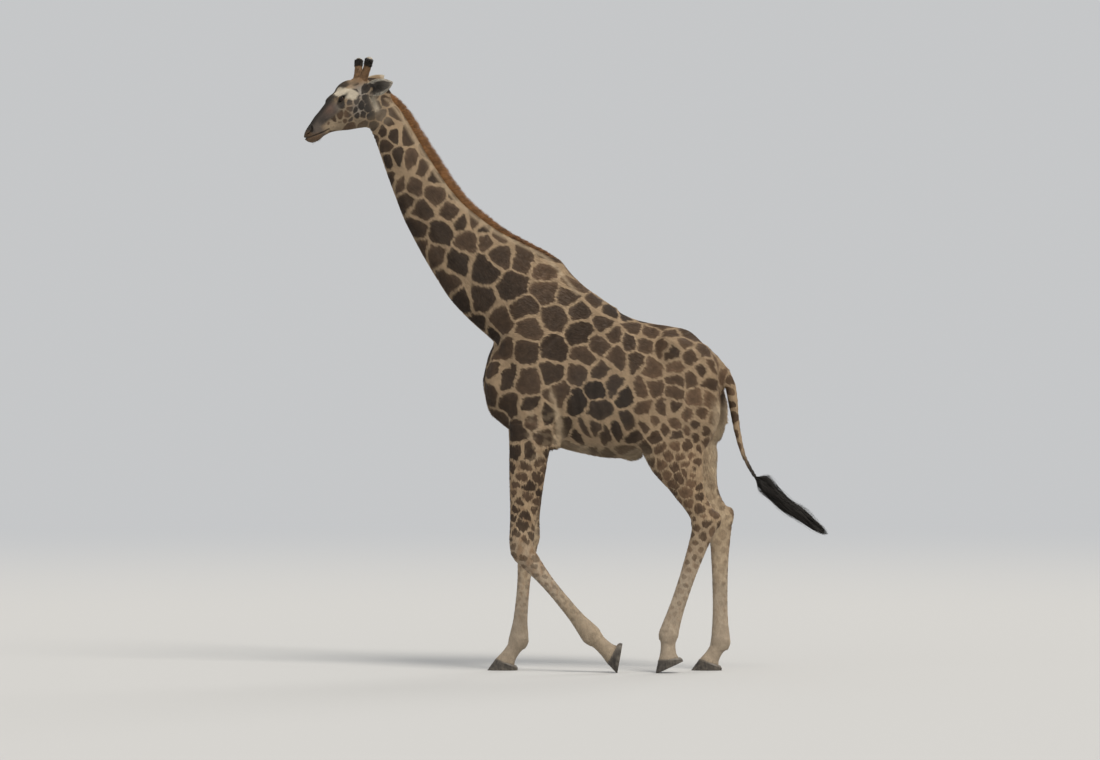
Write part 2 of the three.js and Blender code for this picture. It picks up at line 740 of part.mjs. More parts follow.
// Ossicones: a stem that swells into a rounded knob.
function ossicone(side) {
  const root = onHead(OSSICONE.root, side);
  const [along, up, out] = OSSICONE.tip;
  const [ahead, above] = OSSICONE.stagger;
  const tip = onHead([along + side * ahead, up + side * above, out], side);
  const way = tip.clone().sub(root);
  const length = way.length();
  way.divideScalar(length);
  const { base, waist, knob, sunk, rounding } = OSSICONE;
  const profile = [new THREE.Vector2(0, -sunk)];
  const rings = 5;
  for (let i = 0; i < rings; i++) {
    const t = i / (rings - 1);
    const radius = waist + (base - waist) * (1 - t) ** 2 + (knob - waist) * t ** 3;
    profile.push(new THREE.Vector2(radius, (length + sunk - rounding) * t - sunk));
  }
  profile.push(new THREE.Vector2(knob * 0.7, length - rounding / 3));
  profile.push(new THREE.Vector2(0, length));
  const lathe = new THREE.LatheGeometry(profile, OSSICONE.sides);
  const turn = new THREE.Quaternion().setFromUnitVectors(SIDEWAYS, way);
  lathe.applyQuaternion(turn).translate(root.x, root.y, root.z);
  return toSolid(orient(mergeVertices(lathe.deleteAttribute("normal").deleteAttribute("uv"), 1e-3)));
}
addPiece("ossicone_left", ossicone(LEFT).subtract(grownHead), "horn");
addPiece("ossicone_right", ossicone(RIGHT).subtract(grownHead), "horn");

// Ears: a leaf that is cupped along its length.
function ear(side, towards) {
  const root = onHead(EAR.root, side);
  const along = vector(towards).normalize();
  const open = vector([EAR_OPENING[0], side * EAR_OPENING[1], EAR_OPENING[2]]);
  open.addScaledVector(along, -open.dot(along)).normalize();
  const across = along.clone().cross(open);
  const rings = [];
  const steps = 7;
  const arc = 4;
  for (let i = 0; i < steps; i++) {
    const t = i / steps;
    const width = EAR.width * Math.sin(Math.PI * Math.min(0.16 + 0.84 * t, 1)) ** 0.75;
    const cup = EAR.cup * (1 - t) * (width / EAR.width);
    const middle = root.clone().addScaledVector(along, EAR.length * t - EAR.sunk);
    const point = (u, lift) =>
      middle
        .clone()
        .addScaledVector(across, u * width)
        .addScaledVector(open, (u * u - 0.5) * cup + lift);
    const ring = [];
    for (let j = 0; j <= arc; j++) ring.push(point(-1 + (2 * j) / arc, EAR.thickness * 0.3));
    for (let j = arc; j >= 0; j--) {
      const u = -1 + (2 * j) / arc;
      ring.push(point(u, -EAR.thickness * (0.3 + 0.7 * (1 - u * u))));
    }
    rings.push(ring);
  }
  const end = root.clone().addScaledVector(along, EAR.length - EAR.sunk);
  const start = root.clone().addScaledVector(along, -EAR.sunk - 4);
  return toSolid(orient(closeRings(rings, start, end)));
}
addPiece("ear_left", ear(LEFT, EAR_LEFT_TOWARDS).subtract(grownHead), "coat");
addPiece("ear_right", ear(RIGHT, EAR_RIGHT_TOWARDS).subtract(grownHead), "coat");

// Mane: a ridge of stiff hair down the back of the neck.
const MANE_ROOT = 40; // how deep the ridge starts inside the neck
const MANE_SPREAD = 1.6; // how much thicker it is there
const MANE_SHOULDER = 0.55; // the share of its height where it starts to thin
const maneTable = smoothTable(MANE);
const neckTable = smoothTable(NECK);
function mane() {
  const rings = [];
  const steps = 20;
  for (let i = 0; i <= steps; i++) {
    const s = maneTable.first + ((maneTable.last - maneTable.first) * i) / steps;
    const base = neckTable.read(s, 1);
    const height = maneTable.read(s, 1);
    const half = maneTable.read(s, 2);
    const at = (n, v) =>
      neck.start
        .clone()
        .addScaledVector(neck.axis, s)
        .addScaledVector(neck.across, base + n)
        .addScaledVector(SIDEWAYS, v);
    rings.push([
      at(-MANE_ROOT, -half * MANE_SPREAD),
      at(-MANE_ROOT, half * MANE_SPREAD),
      at(height * MANE_SHOULDER, half),
      at(height, 0),
      at(height * MANE_SHOULDER, -half),
    ]);
  }
  const middle = (ring) => ring[0].clone().add(ring[1]).add(ring[3]).divideScalar(3);
  return toSolid(orient(closeRings(rings, middle(rings[0]), middle(rings[steps]))));
}
addPiece("mane", mane().subtract(grownNeck).subtract(grownTrunk).subtract(grownHead), "mane");

// Legs: the upper leg, the cannon with the fetlock, the pastern and the two claws.
const floor = halfSpace(new THREE.Vector3(0, 0, -GAP / 2), new THREE.Vector3(0, 0, 1));
const midway = (a, b) => a.clone().add(b).normalize();

// The top of a leg, from the elbow or from the buttock, as far as its knee or hock.
function upperLegFrames({ kind, limbs }) {
  const [first, second] = limbs;
  if (kind === "fore") return straightFrames(first, -120, first.length * 1.07, 12);
  const share = (part, t) => part.centre(part.length * t);
  const spine = [share(first, 0.3), share(first, 0.8)];
  for (const t of [0.3, 0.5, 0.75, 1.07]) spine.push(share(second, t));
  return curvedFrames(spine, 15);
}
function partUpperLeg(raw, { kind, tip }) {
  const side = Math.sign(tip.y);
  const outward = new THREE.Vector3(0, side, 0);
  if (kind === "hind") {
    return raw
      .intersect(halfSpace(new THREE.Vector3(), outward))
      .intersect(groinCut.beyond)
      .intersect(hindTop);
  }
  const inner = side * (BRISKET_HALF + GAP);
  const across = [inner, side * WIDE].sort((a, b) => a - b);
  const back = FORELEG_BACK - GAP;
  return raw.intersect(boxSolid([-WIDE, back], across, [UNDER, FORELEG_TOP - GAP / 2]));
}
function addLeg(name) {
  const leg = legs[name];
  const { upper, cannon, pastern, coronet, hairLine, tip } = leg;
  const ownField = (x, y, z) => legDistance(name, x, y, z);
  const bodyField = (x, y, z) => Math.max(bodyDistance(x, y, z), -y * Math.sign(tip.y) - MARGIN);
  const knee = cannon.start;
  const kneeWay = midway(upper.axis, cannon.axis);
  const fetlock = pastern.start;
  const fetlockWay = midway(cannon.axis, pastern.axis);
  const upperLeg = partUpperLeg(toSolid(loft(bodyField, upperLegFrames(leg), 14)), leg);
  addPiece(name + "_upper", upperLeg.intersect(halfSpace(knee, kneeWay.clone().negate())), "legs");
  const cannonFrames = straightFrames(cannon, -50, cannon.length * 1.05, 9);
  const cannonSolid = toSolid(loft(ownField, cannonFrames, 10))
    .intersect(halfSpace(knee, kneeWay))
    .intersect(halfSpace(fetlock, fetlockWay.clone().negate()));
  addPiece(name + "_cannon", cannonSolid, "legs");
  const pasternFrames = straightFrames(pastern, -70, pastern.length * 1.3, 5);
  const pasternSolid = toSolid(loft(ownField, pasternFrames, 10))
    .intersect(halfSpace(fetlock, fetlockWay))
    .intersect(halfSpace(coronet, hairLine));
  addPiece(name + "_pastern", pasternSolid, "legs");
  for (const [claw, turn] of [["inner", -1], ["outer", 1]]) {
    const side = turn * Math.sign(leg.tip.y);
    addPiece(name + "_claw_" + claw, makeClaw(leg, side).intersect(floor), "hoof");
  }
}

// One claw: outlines that shrink from the sole to the hair line.
const TOE_WIDTH = 0.72; // the toe's width, as a share of the claw's
const TOE_RUN = 90; // how far behind the toe the claw has its full width
const INNER_WALL = 0.62; // where the flat wall between the claws cuts the outline
function makeClaw(leg, side) {
  const levels = 3;
  const around = 10;
  const under = halfSpace(leg.coronet, leg.hairLine.clone().negate());
  const rings = [];
  for (let i = 0; i < levels; i++) {
    const t = i / (levels - 1);
    const toe = HOOF.wallRun * t;
    const heel = HOOF.length - HOOF.heelRun * t;
    const wide = HOOF.width * (1 - HOOF.narrowing * t);
    const ring = [];
    for (let j = 0; j < around; j++) {
      const angle = (2 * Math.PI * j) / around;
      const c = Math.cos(angle);
      const along = (toe + heel) / 2 - (Math.sign(c) * Math.abs(c) ** 0.8 * (heel - toe)) / 2;
      const blunt = TOE_WIDTH + (1 - TOE_WIDTH) * Math.min(1, (along - toe) / TOE_RUN);
      const out = Math.max(Math.sin(angle), -INNER_WALL) * 0.5 * blunt;
      ring.push(
        leg.tip
          .clone()
          .addScaledVector(leg.sole, along)
          .addScaledVector(leg.rise, HOOF.wall * t)
          .addScaledVector(SIDEWAYS, side * (HOOF.cleft / 2 + wide * (INNER_WALL / 2 + out))),
      );
    }
    rings.push(ring);
  }
  const middle = (ring) => ring.reduce((sum, p) => sum.add(p), new THREE.Vector3()).divideScalar(around);
  return toSolid(orient(closeRings(rings, middle(rings[0]), middle(rings[levels - 1])))).intersect(under);
}
for (const name of Object.keys(legs)) addLeg(name);

// Tail: the dock and its tuft.
function swept(rows, sides) {
  const spine = rows.map(([x, z]) => inMidPlane([x, z]));
  const rings = rows.map((row, i) => {
    const before = spine[Math.max(i - 1, 0)];
    const after = spine[Math.min(i + 1, spine.length - 1)];
    const way = after.clone().sub(before).normalize();
    const across = way.clone().cross(SIDEWAYS);
    const ring = [];
    for (let j = 0; j < sides; j++) {
      const angle = (2 * Math.PI * j) / sides;
      ring.push(
        spine[i]
          .clone()
          .addScaledVector(across, Math.cos(angle) * row[2])
          .addScaledVector(SIDEWAYS, Math.sin(angle) * (row[3] ?? row[2])),
      );
    }
    return ring;
  });
  return toSolid(orient(closeRings(rings, spine[0], spine[spine.length - 1])));
}
const tuftStart = inMidPlane(TUFT[0]);
const tuftWay = inMidPlane(TUFT[1]).sub(tuftStart).normalize();
const dock = swept(TAIL, 8).subtract(grownTrunk);
addPiece("tail", dock.intersect(halfSpace(tuftStart, tuftWay.clone().negate())), "coat");
addPiece("tail_tuft", swept(TUFT, 8).intersect(halfSpace(tuftStart, tuftWay)), "hair");

// The origin is on the floor, under the centre of the bounding box.
const middle = new THREE.Box3().setFromObject(body).getCenter(new THREE.Vector3());
body.position.set(-middle.x, -middle.y, 0);

export default giraffe;
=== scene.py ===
"""The looks of a life-size still model of a bull giraffe in mid stride.

The shape is worked out in millimetres, as one distance field whose tables are those of the solids.
The skin is drawn from that field, a coat's depth inside it. Markings, hair and hooves follow it.
"""

import math

import bpy
import numpy as np
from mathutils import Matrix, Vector
from mathutils.bvhtree import BVHTree


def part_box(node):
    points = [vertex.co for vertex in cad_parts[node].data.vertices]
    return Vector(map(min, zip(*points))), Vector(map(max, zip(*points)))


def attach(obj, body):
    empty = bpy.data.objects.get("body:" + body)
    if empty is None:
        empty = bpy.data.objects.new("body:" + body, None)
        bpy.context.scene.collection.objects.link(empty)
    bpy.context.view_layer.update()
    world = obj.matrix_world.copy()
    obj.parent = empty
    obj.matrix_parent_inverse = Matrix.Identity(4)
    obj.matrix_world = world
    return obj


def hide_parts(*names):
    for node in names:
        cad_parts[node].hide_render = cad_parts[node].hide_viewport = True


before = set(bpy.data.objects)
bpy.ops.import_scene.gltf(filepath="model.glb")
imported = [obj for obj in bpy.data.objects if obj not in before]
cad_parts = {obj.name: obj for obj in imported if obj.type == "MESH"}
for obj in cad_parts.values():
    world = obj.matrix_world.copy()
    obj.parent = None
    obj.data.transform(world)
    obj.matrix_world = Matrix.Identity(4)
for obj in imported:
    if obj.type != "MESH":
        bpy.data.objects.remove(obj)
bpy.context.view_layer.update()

# ---- Driving dimensions, in millimetres; the head points to -X, the animal's left side is at -Y ----
LEFT, RIGHT = -1, 1
POLL = (-1421.5, 0, 4349.5)
NECK_ROOT = (-54, 0, 2633)
HEAD_ORIGIN = (-1501, 0, 4451)
HEAD_PITCH = math.radians(31.7)
HEAD_YAW = math.radians(19)

# Legs: the joints from the top down, the toe, and the slope of the sole in degrees.
LEGS = {
    "fore_left": ("fore", [(-250, -205, 1790), (-346, -215, 940), (190, -225, 288)], (385, -228), 80),
    "fore_right": ("fore", [(-262, 200, 1850), (-298, 165, 1016), (-370, 135, 223)], (-616, 130), 0),
    "hind_left": (
        "hind",
        [(960, -150, 2330), (700, -205, 1800), (1068, -220, 1158), (778, -240, 297)],
        (678, -245),
        25,
    ),
    "hind_right": (
        "hind",
        [(960, 150, 2330), (815, 200, 1805), (1184, 160, 1160), (1190, 130, 215)],
        (962, 122),
        0,
    ),
}

# Stations along a tube: [place, upper edge, lower edge, half width, narrowing of the upper half].
BARREL = [
    (-645, 2250, 2215, 40, 0), (-600, 2440, 2020, 150, 0), (-520, 2590, 1925, 215, 0.1),
    (-400, 2740, 1835, 255, 0.2), (-250, 2860, 1770, 280, 0.25), (-50, 2940, 1720, 305, 0.3),
    (200, 2890, 1664, 335, 0.25), (350, 2800, 1645, 338, 0.2), (500, 2725, 1655, 325, 0.2),
    (650, 2685, 1705, 295, 0.15), (800, 2662, 1800, 265, 0.1), (950, 2620, 1950, 235, 0.1),
    (1080, 2490, 2060, 185, 0.1), (1170, 2370, 2120, 120, 0), (1215, 2300, 2190, 50, 0),
]
WITHERS = [
    (-250, 3120, 2600, 115, 0.5), (-120, 3195, 2600, 120, 0.5), (-60, 3180, 2600, 125, 0.5),
    (23, 3080, 2550, 135, 0.45), (139, 2965, 2500, 145, 0.4), (254, 2865, 2450, 155, 0.3),
    (360, 2790, 2450, 165, 0.2),
]
NECK = [
    (0, 92, -170, 80, 0.1), (131, 92, -193, 85, 0.1), (316, 65, -258, 92, 0.15),
    (470, 46, -312, 100, 0.2), (624, 31, -362, 108, 0.2), (786, 19, -412, 118, 0.25),
    (955, 23, -447, 128, 0.25), (1125, 58, -477, 140, 0.3), (1302, 108, -500, 155, 0.3),
    (1487, 193, -516, 175, 0.35), (1695, 285, -500, 200, 0.4), (1918, 300, -462, 225, 0.4),
    (2195, 300, -424, 250, 0.4),
]
HEAD = [
    (-120, 74, -110, 70, 0), (0, 144, -178, 94, -0.15), (86, 170, -205, 106, -0.35),
    (160, 174, -200, 112, -0.45), (239, 165, -168, 106, -0.45), (311, 150, -140, 90, -0.35),
    (375, 128, -108, 74, -0.25), (438, 106, -84, 64, -0.1), (494, 88, -78, 60, 0),
    (550, 60, -76, 61, 0.1), (598, 26, -62, 54, 0.1), (630, -8, -46, 32, 0),
]

# Stations along a limb: (share of its length, rear edge, front edge, half width).
FOREARM = [
    (-0.12, 160, -200, 105), (0.14, 125, -184, 90), (0.28, 119, -172, 80), (0.46, 108, -152, 70),
    (0.64, 93, -130, 62), (0.81, 84, -115, 61), (0.92, 90, -108, 66), (1.0, 88, -94, 64),
    (1.05, 68, -76, 54), (1.09, 34, -44, 32),
]
FORE_CANNON = [
    (-0.04, 80, -80, 54), (0.06, 80, -88, 60), (0.26, 58, -68, 44), (0.42, 48, -57, 38),
    (0.62, 48, -56, 38), (0.8, 54, -62, 42), (0.93, 70, -76, 52), (1.0, 72, -78, 54),
    (1.06, 50, -58, 46),
]
THIGH = [
    (-0.2, 150, -150, 95), (0.2, 300, -160, 138), (0.5, 365, -150, 145), (0.8, 370, -152, 130),
    (1.0, 325, -150, 118), (1.15, 240, -140, 105),
]
GASKIN = [
    (-0.05, 300, -150, 118), (0.1, 298, -164, 118), (0.26, 280, -168, 110), (0.39, 240, -152, 104),
    (0.52, 180, -128, 92), (0.65, 130, -113, 80), (0.77, 104, -98, 70), (0.88, 100, -94, 66),
    (1.0, 104, -103, 66), (1.08, 70, -90, 56),
]
HIND_CANNON = [
    (-0.04, 96, -100, 60), (0.03, 96, -102, 63), (0.12, 86, -86, 59), (0.22, 76, -77, 53),
    (0.34, 67, -70, 46), (0.5, 60, -64, 40), (0.7, 58, -62, 38), (0.83, 62, -66, 42),
    (0.94, 72, -72, 52), (1.0, 76, -70, 53), (1.06, 56, -54, 45),
]
PASTERN = [
    (-0.2, 56, -58, 46), (0, 68, -72, 54), (0.4, 58, -60, 49), (0.75, 64, -62, 54),
    (1.0, 84, -70, 66), (1.35, 92, -78, 74),
]

# The tail: (x, z, radius) along the dock, then (x, z, two radii) along the tuft of long hair.
TAIL = [
    (1056, 2472, 42), (1136, 2406, 40), (1220, 2299, 42), (1262, 2200, 43), (1280, 2085, 40),
    (1292, 1990, 33), (1312, 1863, 28), (1338, 1745, 23), (1368, 1650, 19), (1409, 1570, 17),
    (1448, 1505, 17),
]
TUFT = [
    (1458, 1490, 24, 22), (1490, 1466, 50, 40), (1530, 1432, 61, 46), (1590, 1368, 57, 46),
    (1686, 1275, 49, 42), (1798, 1205, 45, 36), (1905, 1120, 34, 26), (1975, 1072, 20, 15),
    (2017, 1045, 5, 5),
]

# Mane: (place down the neck, how far the stiff hair stands off it, half its thickness).
MANE = [
    (-75, 30, 8), (0, 58, 12), (250, 76, 15), (700, 78, 16), (1200, 70, 16), (1600, 52, 15),
    (1900, 40, 12), (2010, 18, 8),
]

# ---- Vectors and curves ----
SIDEWAYS = np.array([0.0, 1.0, 0.0])


def unit(v):
    v = np.asarray(v, float)
    return v / np.linalg.norm(v, axis=-1, keepdims=True)


def smoothstep(low, high, x):
    t = np.clip((x - low) / (high - low), 0, 1)
    return t * t * (3 - 2 * t)


def bell(x, width):
    return np.exp(-((x / width) ** 2))


def window(x, low, high, soft):
    """1 between low and high, fading to 0 over soft on both sides."""
    return smoothstep(low - soft, low + soft, x) * (1 - smoothstep(high - soft, high + soft, x))


def from_segment(a, b, start, end, least=0.0, most=1.0):
    """In a plane, the nearest place on a segment, as a share of it, and how far off it is."""
    da, db = end[0] - start[0], end[1] - start[1]
    t = np.clip(((a - start[0]) * da + (b - start[1]) * db) / (da**2 + db**2), least, most)
    return t, np.hypot(a - start[0] - t * da, b - start[1] - t * db)


def drift(p, scale, seed, waves=7):
    """Three smooth random values from about -1 to 1 at each point, that change over scale."""
    draw = np.random.default_rng(seed)
    out = np.zeros((len(p), 3))
    for _ in range(waves):
        for c in range(3):
            way = unit(draw.normal(size=3)) * (2 * math.pi / scale) * draw.uniform(0.6, 1.5)
            out[:, c] += np.sin(p @ way + draw.uniform(0, 6.28))
    return out * (0.7 / waves**0.5)


class Table:
    """A cubic curve through the rows of a table, read at any place."""

    STEP = 8

    def __init__(self, rows):
        rows = np.array(rows, float)
        n = len(rows)
        before = rows[np.maximum(np.arange(n) - 1, 0)]
        after = rows[np.minimum(np.arange(n) + 1, n - 1)]
        slopes = (after - before) / (after[:, :1] - before[:, :1])
        count = math.ceil((rows[-1, 0] - rows[0, 0]) / self.STEP)
        self.at = np.linspace(rows[0, 0], rows[-1, 0], count + 1)
        k = np.clip(np.searchsorted(rows[:, 0], self.at) - 1, 0, n - 2)
        span = (rows[k + 1, 0] - rows[k, 0])[:, None]
        t = (self.at[:, None] - rows[k, :1]) / span
        held = (2 * t**3 - 3 * t**2 + 1) * rows[k] + (3 * t**2 - 2 * t**3) * rows[k + 1]
        bent = (t**3 - 2 * t**2 + t) * slopes[k] + (t**3 - t**2) * slopes[k + 1]
        self.values = held + span * bent

    def read(self, s, column):
        return np.interp(s, self.at, self.values[:, column])


# ---- Distance field ----
def blend(a, b, k):
    """The smaller of two distances, rounded over the width k where they are alike."""
    h = np.maximum(k - np.abs(a - b), 0) / k
    return np.minimum(a, b) - h * h * k * 0.25


def carve(a, b, k):
    """What is in a and not in b, with a rounded rim."""
    return -blend(-a, b, k)


def scaled_distance(u, v, w, a, b, c):
    r = np.sqrt((u / a) ** 2 + (v / b) ** 2 + (w / c) ** 2)
    g = np.sqrt((u / a**2) ** 2 + (v / b**2) ** 2 + (w / c**2) ** 2)
    return np.where(g < 1e-9, -min(a, b, c), r * (r - 1) / np.maximum(g, 1e-9))


class Tube:
    """A tapering tube: rows of (place, upper edge, lower edge, half width, narrowing above)."""

    def __init__(self, start, axis, rows, side=SIDEWAYS):
        self.start = np.array(start, float)
        self.axis = unit(axis)
        self.side = np.array(side, float)
        self.across = unit(np.cross(self.axis, self.side))
        self.table = Table(rows)

    def local(self, p):
        d = p - self.start
        return d @ self.axis, d @ self.across, d @ self.side

    def shares(self, p):
        """Place along the tube, then height and width as shares of the half sizes there."""
        s, n, v = self.local(p)
        upper, lower, half = (self.table.read(s, c) for c in (1, 2, 3))
        height = np.maximum((upper - lower) / 2, 1)
        return s, (n - (upper + lower) / 2) / height, v / half, height, half

    def distance(self, p):
        s, u, v, height, half = self.shares(p)
        v = v / (1 - np.clip(u, -1, 1) * self.table.read(s, 4))
        r = np.hypot(u, v)
        g = np.hypot(u / height, v / half)
        d = np.where(g < 1e-9, -np.minimum(height, half), r * (r - 1) / np.maximum(g, 1e-9))
        past = np.maximum(self.table.at[0] - s, s - self.table.at[-1])
        return np.where(past > 0, np.hypot(np.maximum(d, 0), past), np.maximum(d, past))

    def centre(self, s):
        middle = (self.table.read(s, 1) + self.table.read(s, 2)) / 2
        return self.start + np.outer(s, self.axis) + np.outer(middle, self.across)


def limb(start, end, stations):
    way = np.subtract(end, start)
    length = np.linalg.norm(way)
    way = way / length
    rows = [(share * length, *rest, 0) for share, *rest in stations]
    tube = Tube(start, way, rows, unit(SIDEWAYS - way * way[1]))
    tube.length = length
    return tube


def culled(field, low, high, p, margin=170):
    """The field near its own box, and the distance to that box farther off."""
    away = np.linalg.norm(np.maximum(np.maximum(low - p, p - high), 0), axis=1)
    out = away + 0.0
    close = away < margin
    if close.any():
        out[close] = field(p[close])
    return out


# The trunk and the neck.
barrel = Tube((0, 0, 0), (1, 0, 0), BARREL)
withers = Tube((0, 0, 0), (1, 0, 0), WITHERS)
neck = Tube(POLL, np.subtract(NECK_ROOT, POLL), NECK)

# Ellipsoids of muscle and bone on both sides: (centre, radii, lean in degrees, blend).
TRUNK_FORMS = [
    ((-300, 185, 2440), (165, 95, 430), -14, 90),
    ((-500, 150, 2200), (125, 105, 165), 0, 80),
    ((-235, 195, 2000), (180, 100, 240), 18, 80),
    ((790, 190, 2500), (110, 75, 95), 0, 80),
    ((925, 120, 2380), (215, 130, 180), 10, 80),
    ((493, 0, 1668), (80, 42, 44), 0, 30),
]
# Creases between the muscles, on both sides: (from x, z, to x, z, depth, width).
CREASES = [
    (-470, 2760, -590, 2360, 9, 42),
    (-60, 2620, -30, 2180, 8, 55),
    (-45, 2150, -95, 1840, 11, 40),
    (-330, 2180, -180, 1900, 7, 38),
    (-420, 2050, -330, 1760, 8, 34),
    (640, 2420, 610, 2050, 7, 60),
    (700, 2000, 640, 1760, 9, 40),
    (1010, 2250, 960, 1880, 9, 34),
    (880, 2100, 900, 1800, 6, 40),
]
RIBS = {"from": -20, "to": 470, "pitch": 74, "height": 2.6}
FLANK = (655, 2470, 95, 120, 13)  # the hollow before the hip: x, z, half sizes, depth
WITHERS_BLEND, NECK_BLEND, HEAD_BLEND, LIMB_BLEND, BODY_BLEND = 90, 60, 40, 26, 60


def trunk_relief(p):
    x, y, z = p.T
    out = np.zeros(len(p))
    for x0, z0, x1, z1, depth, width in CREASES:
        t, away = from_segment(x, z, (x0, z0), (x1, z1))
        out -= depth * bell(away, width) * np.sin(np.clip(t, 0.12, 0.88) * math.pi)
    fx, fz, wide, tall, depth = FLANK
    out -= depth * bell(x - fx, wide) * bell(z - fz, tall)
    rib = np.cos(2 * math.pi * (x + 0.22 * (z - 2200)) / RIBS["pitch"])
    where = window(x, RIBS["from"], RIBS["to"], 60) * window(z, 1850, 2480, 130)
    out += RIBS["height"] * rib * where
    return out * smoothstep(70, 150, np.abs(y))


def neck_relief(p):
    """The groove of the vein, the long muscles over it, the joints of the neck and its folds."""
    s, u, v, _, _ = neck.shares(p)
    side = smoothstep(0.35, 0.8, np.abs(v))
    along = window(s, 230, 1850, 160)
    out = -7 * bell(u + 0.5, 0.15) * along * side
    out -= 4 * bell(u - 0.28, 0.14) * window(s, 150, 1700, 150) * side
    joint = 0.5 + 0.5 * np.cos(2 * math.pi * (s - 120) / 265)
    out += 5 * joint * bell(u + 0.08, 0.3) * window(s, 150, 1750, 120) * side
    fold = np.cos(2 * math.pi * (s + 22 * u) / 31)
    out += 1.8 * fold * window(s, 40, 190, 30) * smoothstep(-0.1, -0.6, u)
    return out


def core_distance(p):
    d = blend(barrel.distance(p), withers.distance(p), WITHERS_BLEND)
    x, y, z = p.T
    for at, radii, lean, width in TRUNK_FORMS:
        c, s = math.cos(math.radians(lean)), math.sin(math.radians(lean))
        dx, dy, dz = x - at[0], np.abs(y) - at[1], z - at[2]
        d = blend(d, scaled_distance(c * dx - s * dz, dy, s * dx + c * dz, *radii), width)
    return d - trunk_relief(p)


# The head: its frame, its rounded forms, and the places on it as (along, up, out).
head_axis = np.array(
    [
        -math.cos(HEAD_PITCH) * math.cos(HEAD_YAW),
        -math.cos(HEAD_PITCH) * math.sin(HEAD_YAW),
        -math.sin(HEAD_PITCH),
    ]
)
head_side = np.array([math.sin(HEAD_YAW), -math.cos(HEAD_YAW), 0])  # the animal's left
head = Tube(HEAD_ORIGIN, head_axis, HEAD, head_side)
HEAD_FRAME = np.stack([head.axis, head.across, head.side])


def on_head(places, side=LEFT):
    """Points of (along, up, out) on one side of the head."""
    places = np.atleast_2d(np.asarray(places, float)) * [1, 1, -side]
    return head.start + places @ HEAD_FRAME


HEAD_FORMS = [
    ((215, 118, 78), (70, 34, 36), 22),  # brow
    ((110, -80, 52), (105, 90, 34), 30),  # cheek
    ((165, 158, 0), (80, 42, 44), 30),  # boss on the forehead
    ((560, -6, 12), (72, 43, 43), 40),  # end of the nose
    ((588, -30, 0), (44, 34, 44), 36),  # upper lip
    ((345, 34, 66), (95, 11, 14), 22),  # facial crest
    ((566, -56, 0), (50, 24, 36), 24),  # lower lip and chin
    ((285, 142, 0), (66, 20, 30), 26),  # bridge of the nose
    ((58, 128, 60), (56, 46, 44), 36),  # foot of the horn
    ((20, 52, 88), (44, 40, 34), 24),  # foot of the ear
]
EYE = {"at": (255, 105, 90), "radius": 24}
EYE_OUT = unit([0.24, 0.06, 0.97])
EYE_LONG = unit(np.cross(unit(np.cross(EYE_OUT, [0.94, -0.3, -0.2])), EYE_OUT))
EYE_UP = unit(np.cross(EYE_OUT, EYE_LONG))
LID = {"half_length": 27, "upper": 15, "lower": 11.5, "thickness": 5}
NOSTRIL = {"at": (582, 14), "half_length": 24, "half_width": 5.0, "depth": 16, "tilt": -0.5}
MOUTH = {"corner": 452, "front": (600, -22), "slope": 0.196, "depth": 8, "half_width": 2.6}
VEIN = [(300, 62), (330, 18), (385, -8), (440, -4), (490, 16)]


def almond(long, high):
    """How far a place in the eye's own plane is outside the opening of the lids."""
    half = LID["half_length"]
    out = None
    for rise, sign in ((LID["upper"], -1), (LID["lower"], 1)):
        radius = (half**2 + rise**2) / (2 * rise)
        arc = np.hypot(long, high - sign * (radius - rise)) - radius
        out = arc if out is None else np.maximum(out, arc)
    return out


def in_eye(s, n, a):
    """A place on the head as seen from the eye: along its opening, up across it, and outward."""
    q = np.stack([s, n, a], 1) - EYE["at"]
    return q @ EYE_LONG, q @ EYE_UP, q @ EYE_OUT


def mouth_line(s):
    """How high the line between the lips lies."""
    line = MOUTH["front"][1] - (MOUTH["front"][0] - s) * MOUTH["slope"]
    return line + 5 * bell(s - MOUTH["corner"], 30)


